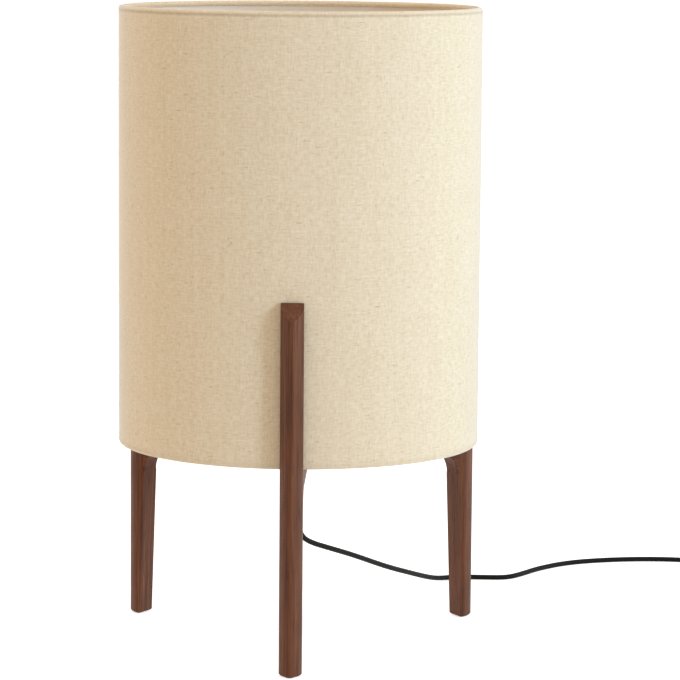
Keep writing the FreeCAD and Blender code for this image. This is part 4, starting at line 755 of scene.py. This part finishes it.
def makeBulbThread(materials):
    # the rolled round thread of the bulb's metal cap
    sizes = threadSizes
    shape = bmesh.new()
    rows, pitch, perTurn = sizes["rows"], sizes["pitch"], sizes["perTurn"]
    turns = math.ceil((sizes["top"] - sizes["base"]) / pitch) + 2
    middle, depth = (sizes["crest"] + sizes["root"]) / 2, (sizes["crest"] - sizes["root"]) / 2
    start = sizes["base"] - pitch * 1.5
    corners = [
        (middle + depth * math.cos(2 * math.pi * row / rows), start + pitch * row / rows)
        for row in range(rows + 1)
    ]
    spots, edges = sectionLine(shape, corners, False)
    bmesh.ops.spin(
        shape, geom=spots + edges, cent=lampAxis, axis=(0, 0, 1), angle=2 * math.pi * turns,
        steps=perTurn * turns, dvec=(0, 0, pitch * mm / perTurn))
    bmesh.ops.remove_doubles(shape, verts=shape.verts, dist=0.01 * mm)
    for level, up in ((sizes["base"], -1), (sizes["top"], 1)):
        bmesh.ops.bisect_plane(
            shape, geom=list(shape.verts) + list(shape.edges) + list(shape.faces), dist=0.0001 * mm,
            plane_co=(0, 0, level * mm), plane_no=(0, 0, up), clear_outer=True)
    bmesh.ops.recalc_face_normals(shape, faces=shape.faces)
    fadeThread(shape)
    shape.normal_update()
    faceOutwards(shape, next(iter(shape.faces)))
    cap = newPiece("threaded_cap", shape, materials["bulb_metal"], "bulb", 60, ["bulb_cap"])
    addWall(cap, sizes["skin"] * mm, -1)


# Stage: floor, light and camera

stageSizes = {
    "floorRadius": 24.0,
    "floorCorners": 96,
    "floorTone": "F4F4F2",
    "floorLift": 0.62,             # what the floor adds for the camera, so that it reads white
    "fill": 0.555,
    "fillTint": "FFF4E8",
    "aim": (0, 0, 0.3),
}

lamps = {
    # name: plan angle from the front towards the right, elevation, distance, size, watts, tint
    "key": (45, 9, 2.4, 0.42, 24.0, "BCDEFF"),
    "side": (104, 10, 2.2, 0.9, 22.5, "C8E5FF"),
    "left": (-106, 10, 2.6, 1.2, 12.0, "FFFCF8"),
    "top": (0, 78, 2.2, 0.8, 14.0, "FFF8F0"),
}


def makeFloor():
    # a pale matt floor that the camera and reflections see as white, with the lamp's shadow kept
    sizes = stageSizes
    shape = bmesh.new()
    bmesh.ops.create_circle(shape, cap_ends=True, segments=sizes["floorCorners"], radius=sizes["floorRadius"])
    material, tree, shader = newMaterial("paleStudioFloor", {
        "Roughness": 0.95, "Specular IOR Level": 0.1, "Base Color": linear(sizes["floorTone"]),
    })
    rays = addNode(tree, "LightPath").outputs
    seen = addNode(tree, "Math", {0: rays["Is Camera Ray"], 1: rays["Is Glossy Ray"]}, operation="ADD")
    lift = addNode(tree, "Math", {0: seen, 1: sizes["floorLift"]}, operation="MULTIPLY")
    glow = addNode(tree, "Emission", {"Color": linear("FFFFFF"), "Strength": lift})
    both = addNode(tree, "AddShader", {0: shader, 1: glow})
    tree.links.new(both.outputs[0], tree.nodes["Material Output"].inputs["Surface"])
    floor = newObject("floor", newMesh("floor", shape, material))


def makeWorld():
    # a soft warm fill that the camera and reflections see as plain white
    world = bpy.data.worlds.new("studio")
    bpy.context.scene.world = world
    world.use_nodes = True
    tree = world.node_tree
    rays = addNode(tree, "LightPath").outputs
    seen = addNode(tree, "Math", {0: rays["Is Camera Ray"], 1: rays["Is Glossy Ray"]}, operation="MAXIMUM")
    tint = addNode(tree, "Mix", {
        0: seen, 6: linear(stageSizes["fillTint"]), 7: linear("FFFFFF"),
    }, data_type="RGBA")
    strength = addNode(tree, "MapRange", {"Value": seen, "To Min": stageSizes["fill"], "To Max": 1.0})
    sky = tree.nodes["Background"]
    tree.links.new(tint.outputs[2], sky.inputs["Color"])
    tree.links.new(strength.outputs[0], sky.inputs["Strength"])


def makeLamps():
    for name, (plan, elevation, distance, size, watts, tint) in lamps.items():
        light = bpy.data.lights.new(name, "AREA")
        light.size = size
        light.energy = watts
        light.color = linear(tint)[:3]
        plan, elevation = math.radians(plan), math.radians(elevation)
        toward = Vector((
            math.sin(plan) * math.cos(elevation), -math.cos(plan) * math.cos(elevation), math.sin(elevation)))
        lamp = newObject(name, light)
        lamp.location = Vector(stageSizes["aim"]) + toward * distance
        lamp.rotation_mode = "QUATERNION"
        lamp.rotation_quaternion = (-toward).to_track_quat("-Z", "Y")
        lamp.visible_camera = False


def makeStage():
    makeFloor()
    makeWorld()
    makeLamps()
    bpy.context.scene.view_settings.view_transform = "Standard"
    print("stage lit")


cameraPlace = {
    "location": (0.09462, -2.78779, 0.61460),
    "forward": (-0.0213334, 0.99141282, -0.12901746),
    "right": (0.99971742, 0.02250745, 0.00764857),
    "up": (-0.01048674, 0.12881784, 0.99161282),
    "lens": 178.85,
    "sensor": 36,
    "near": 0.05,
    "far": 100,
}


def makeCamera():
    place = cameraPlace
    data = bpy.data.cameras.new("camera")
    data.lens = place["lens"]
    data.sensor_width = place["sensor"]
    data.clip_start = place["near"]
    data.clip_end = place["far"]
    camera = newObject("camera", data)
    turn = Matrix((place["right"], place["up"], [-part for part in place["forward"]])).transposed()
    camera.matrix_world = Matrix.Translation(place["location"]) @ turn.to_4x4()
    bpy.context.scene.camera = camera


# Build

materials = slotMaterials(findWallEnds())
print("materials made:", len(materials))
dressNodes(materials)
tie = makeTie(materials)
makeCords(materials)
makeShade(materials)
makeRelief(materials)
makeSheathEnd(materials)
makeBulbThread(materials)
print("relief, cord end and bulb thread turned")
makeStage()
makeCamera()
print("lamp ready")
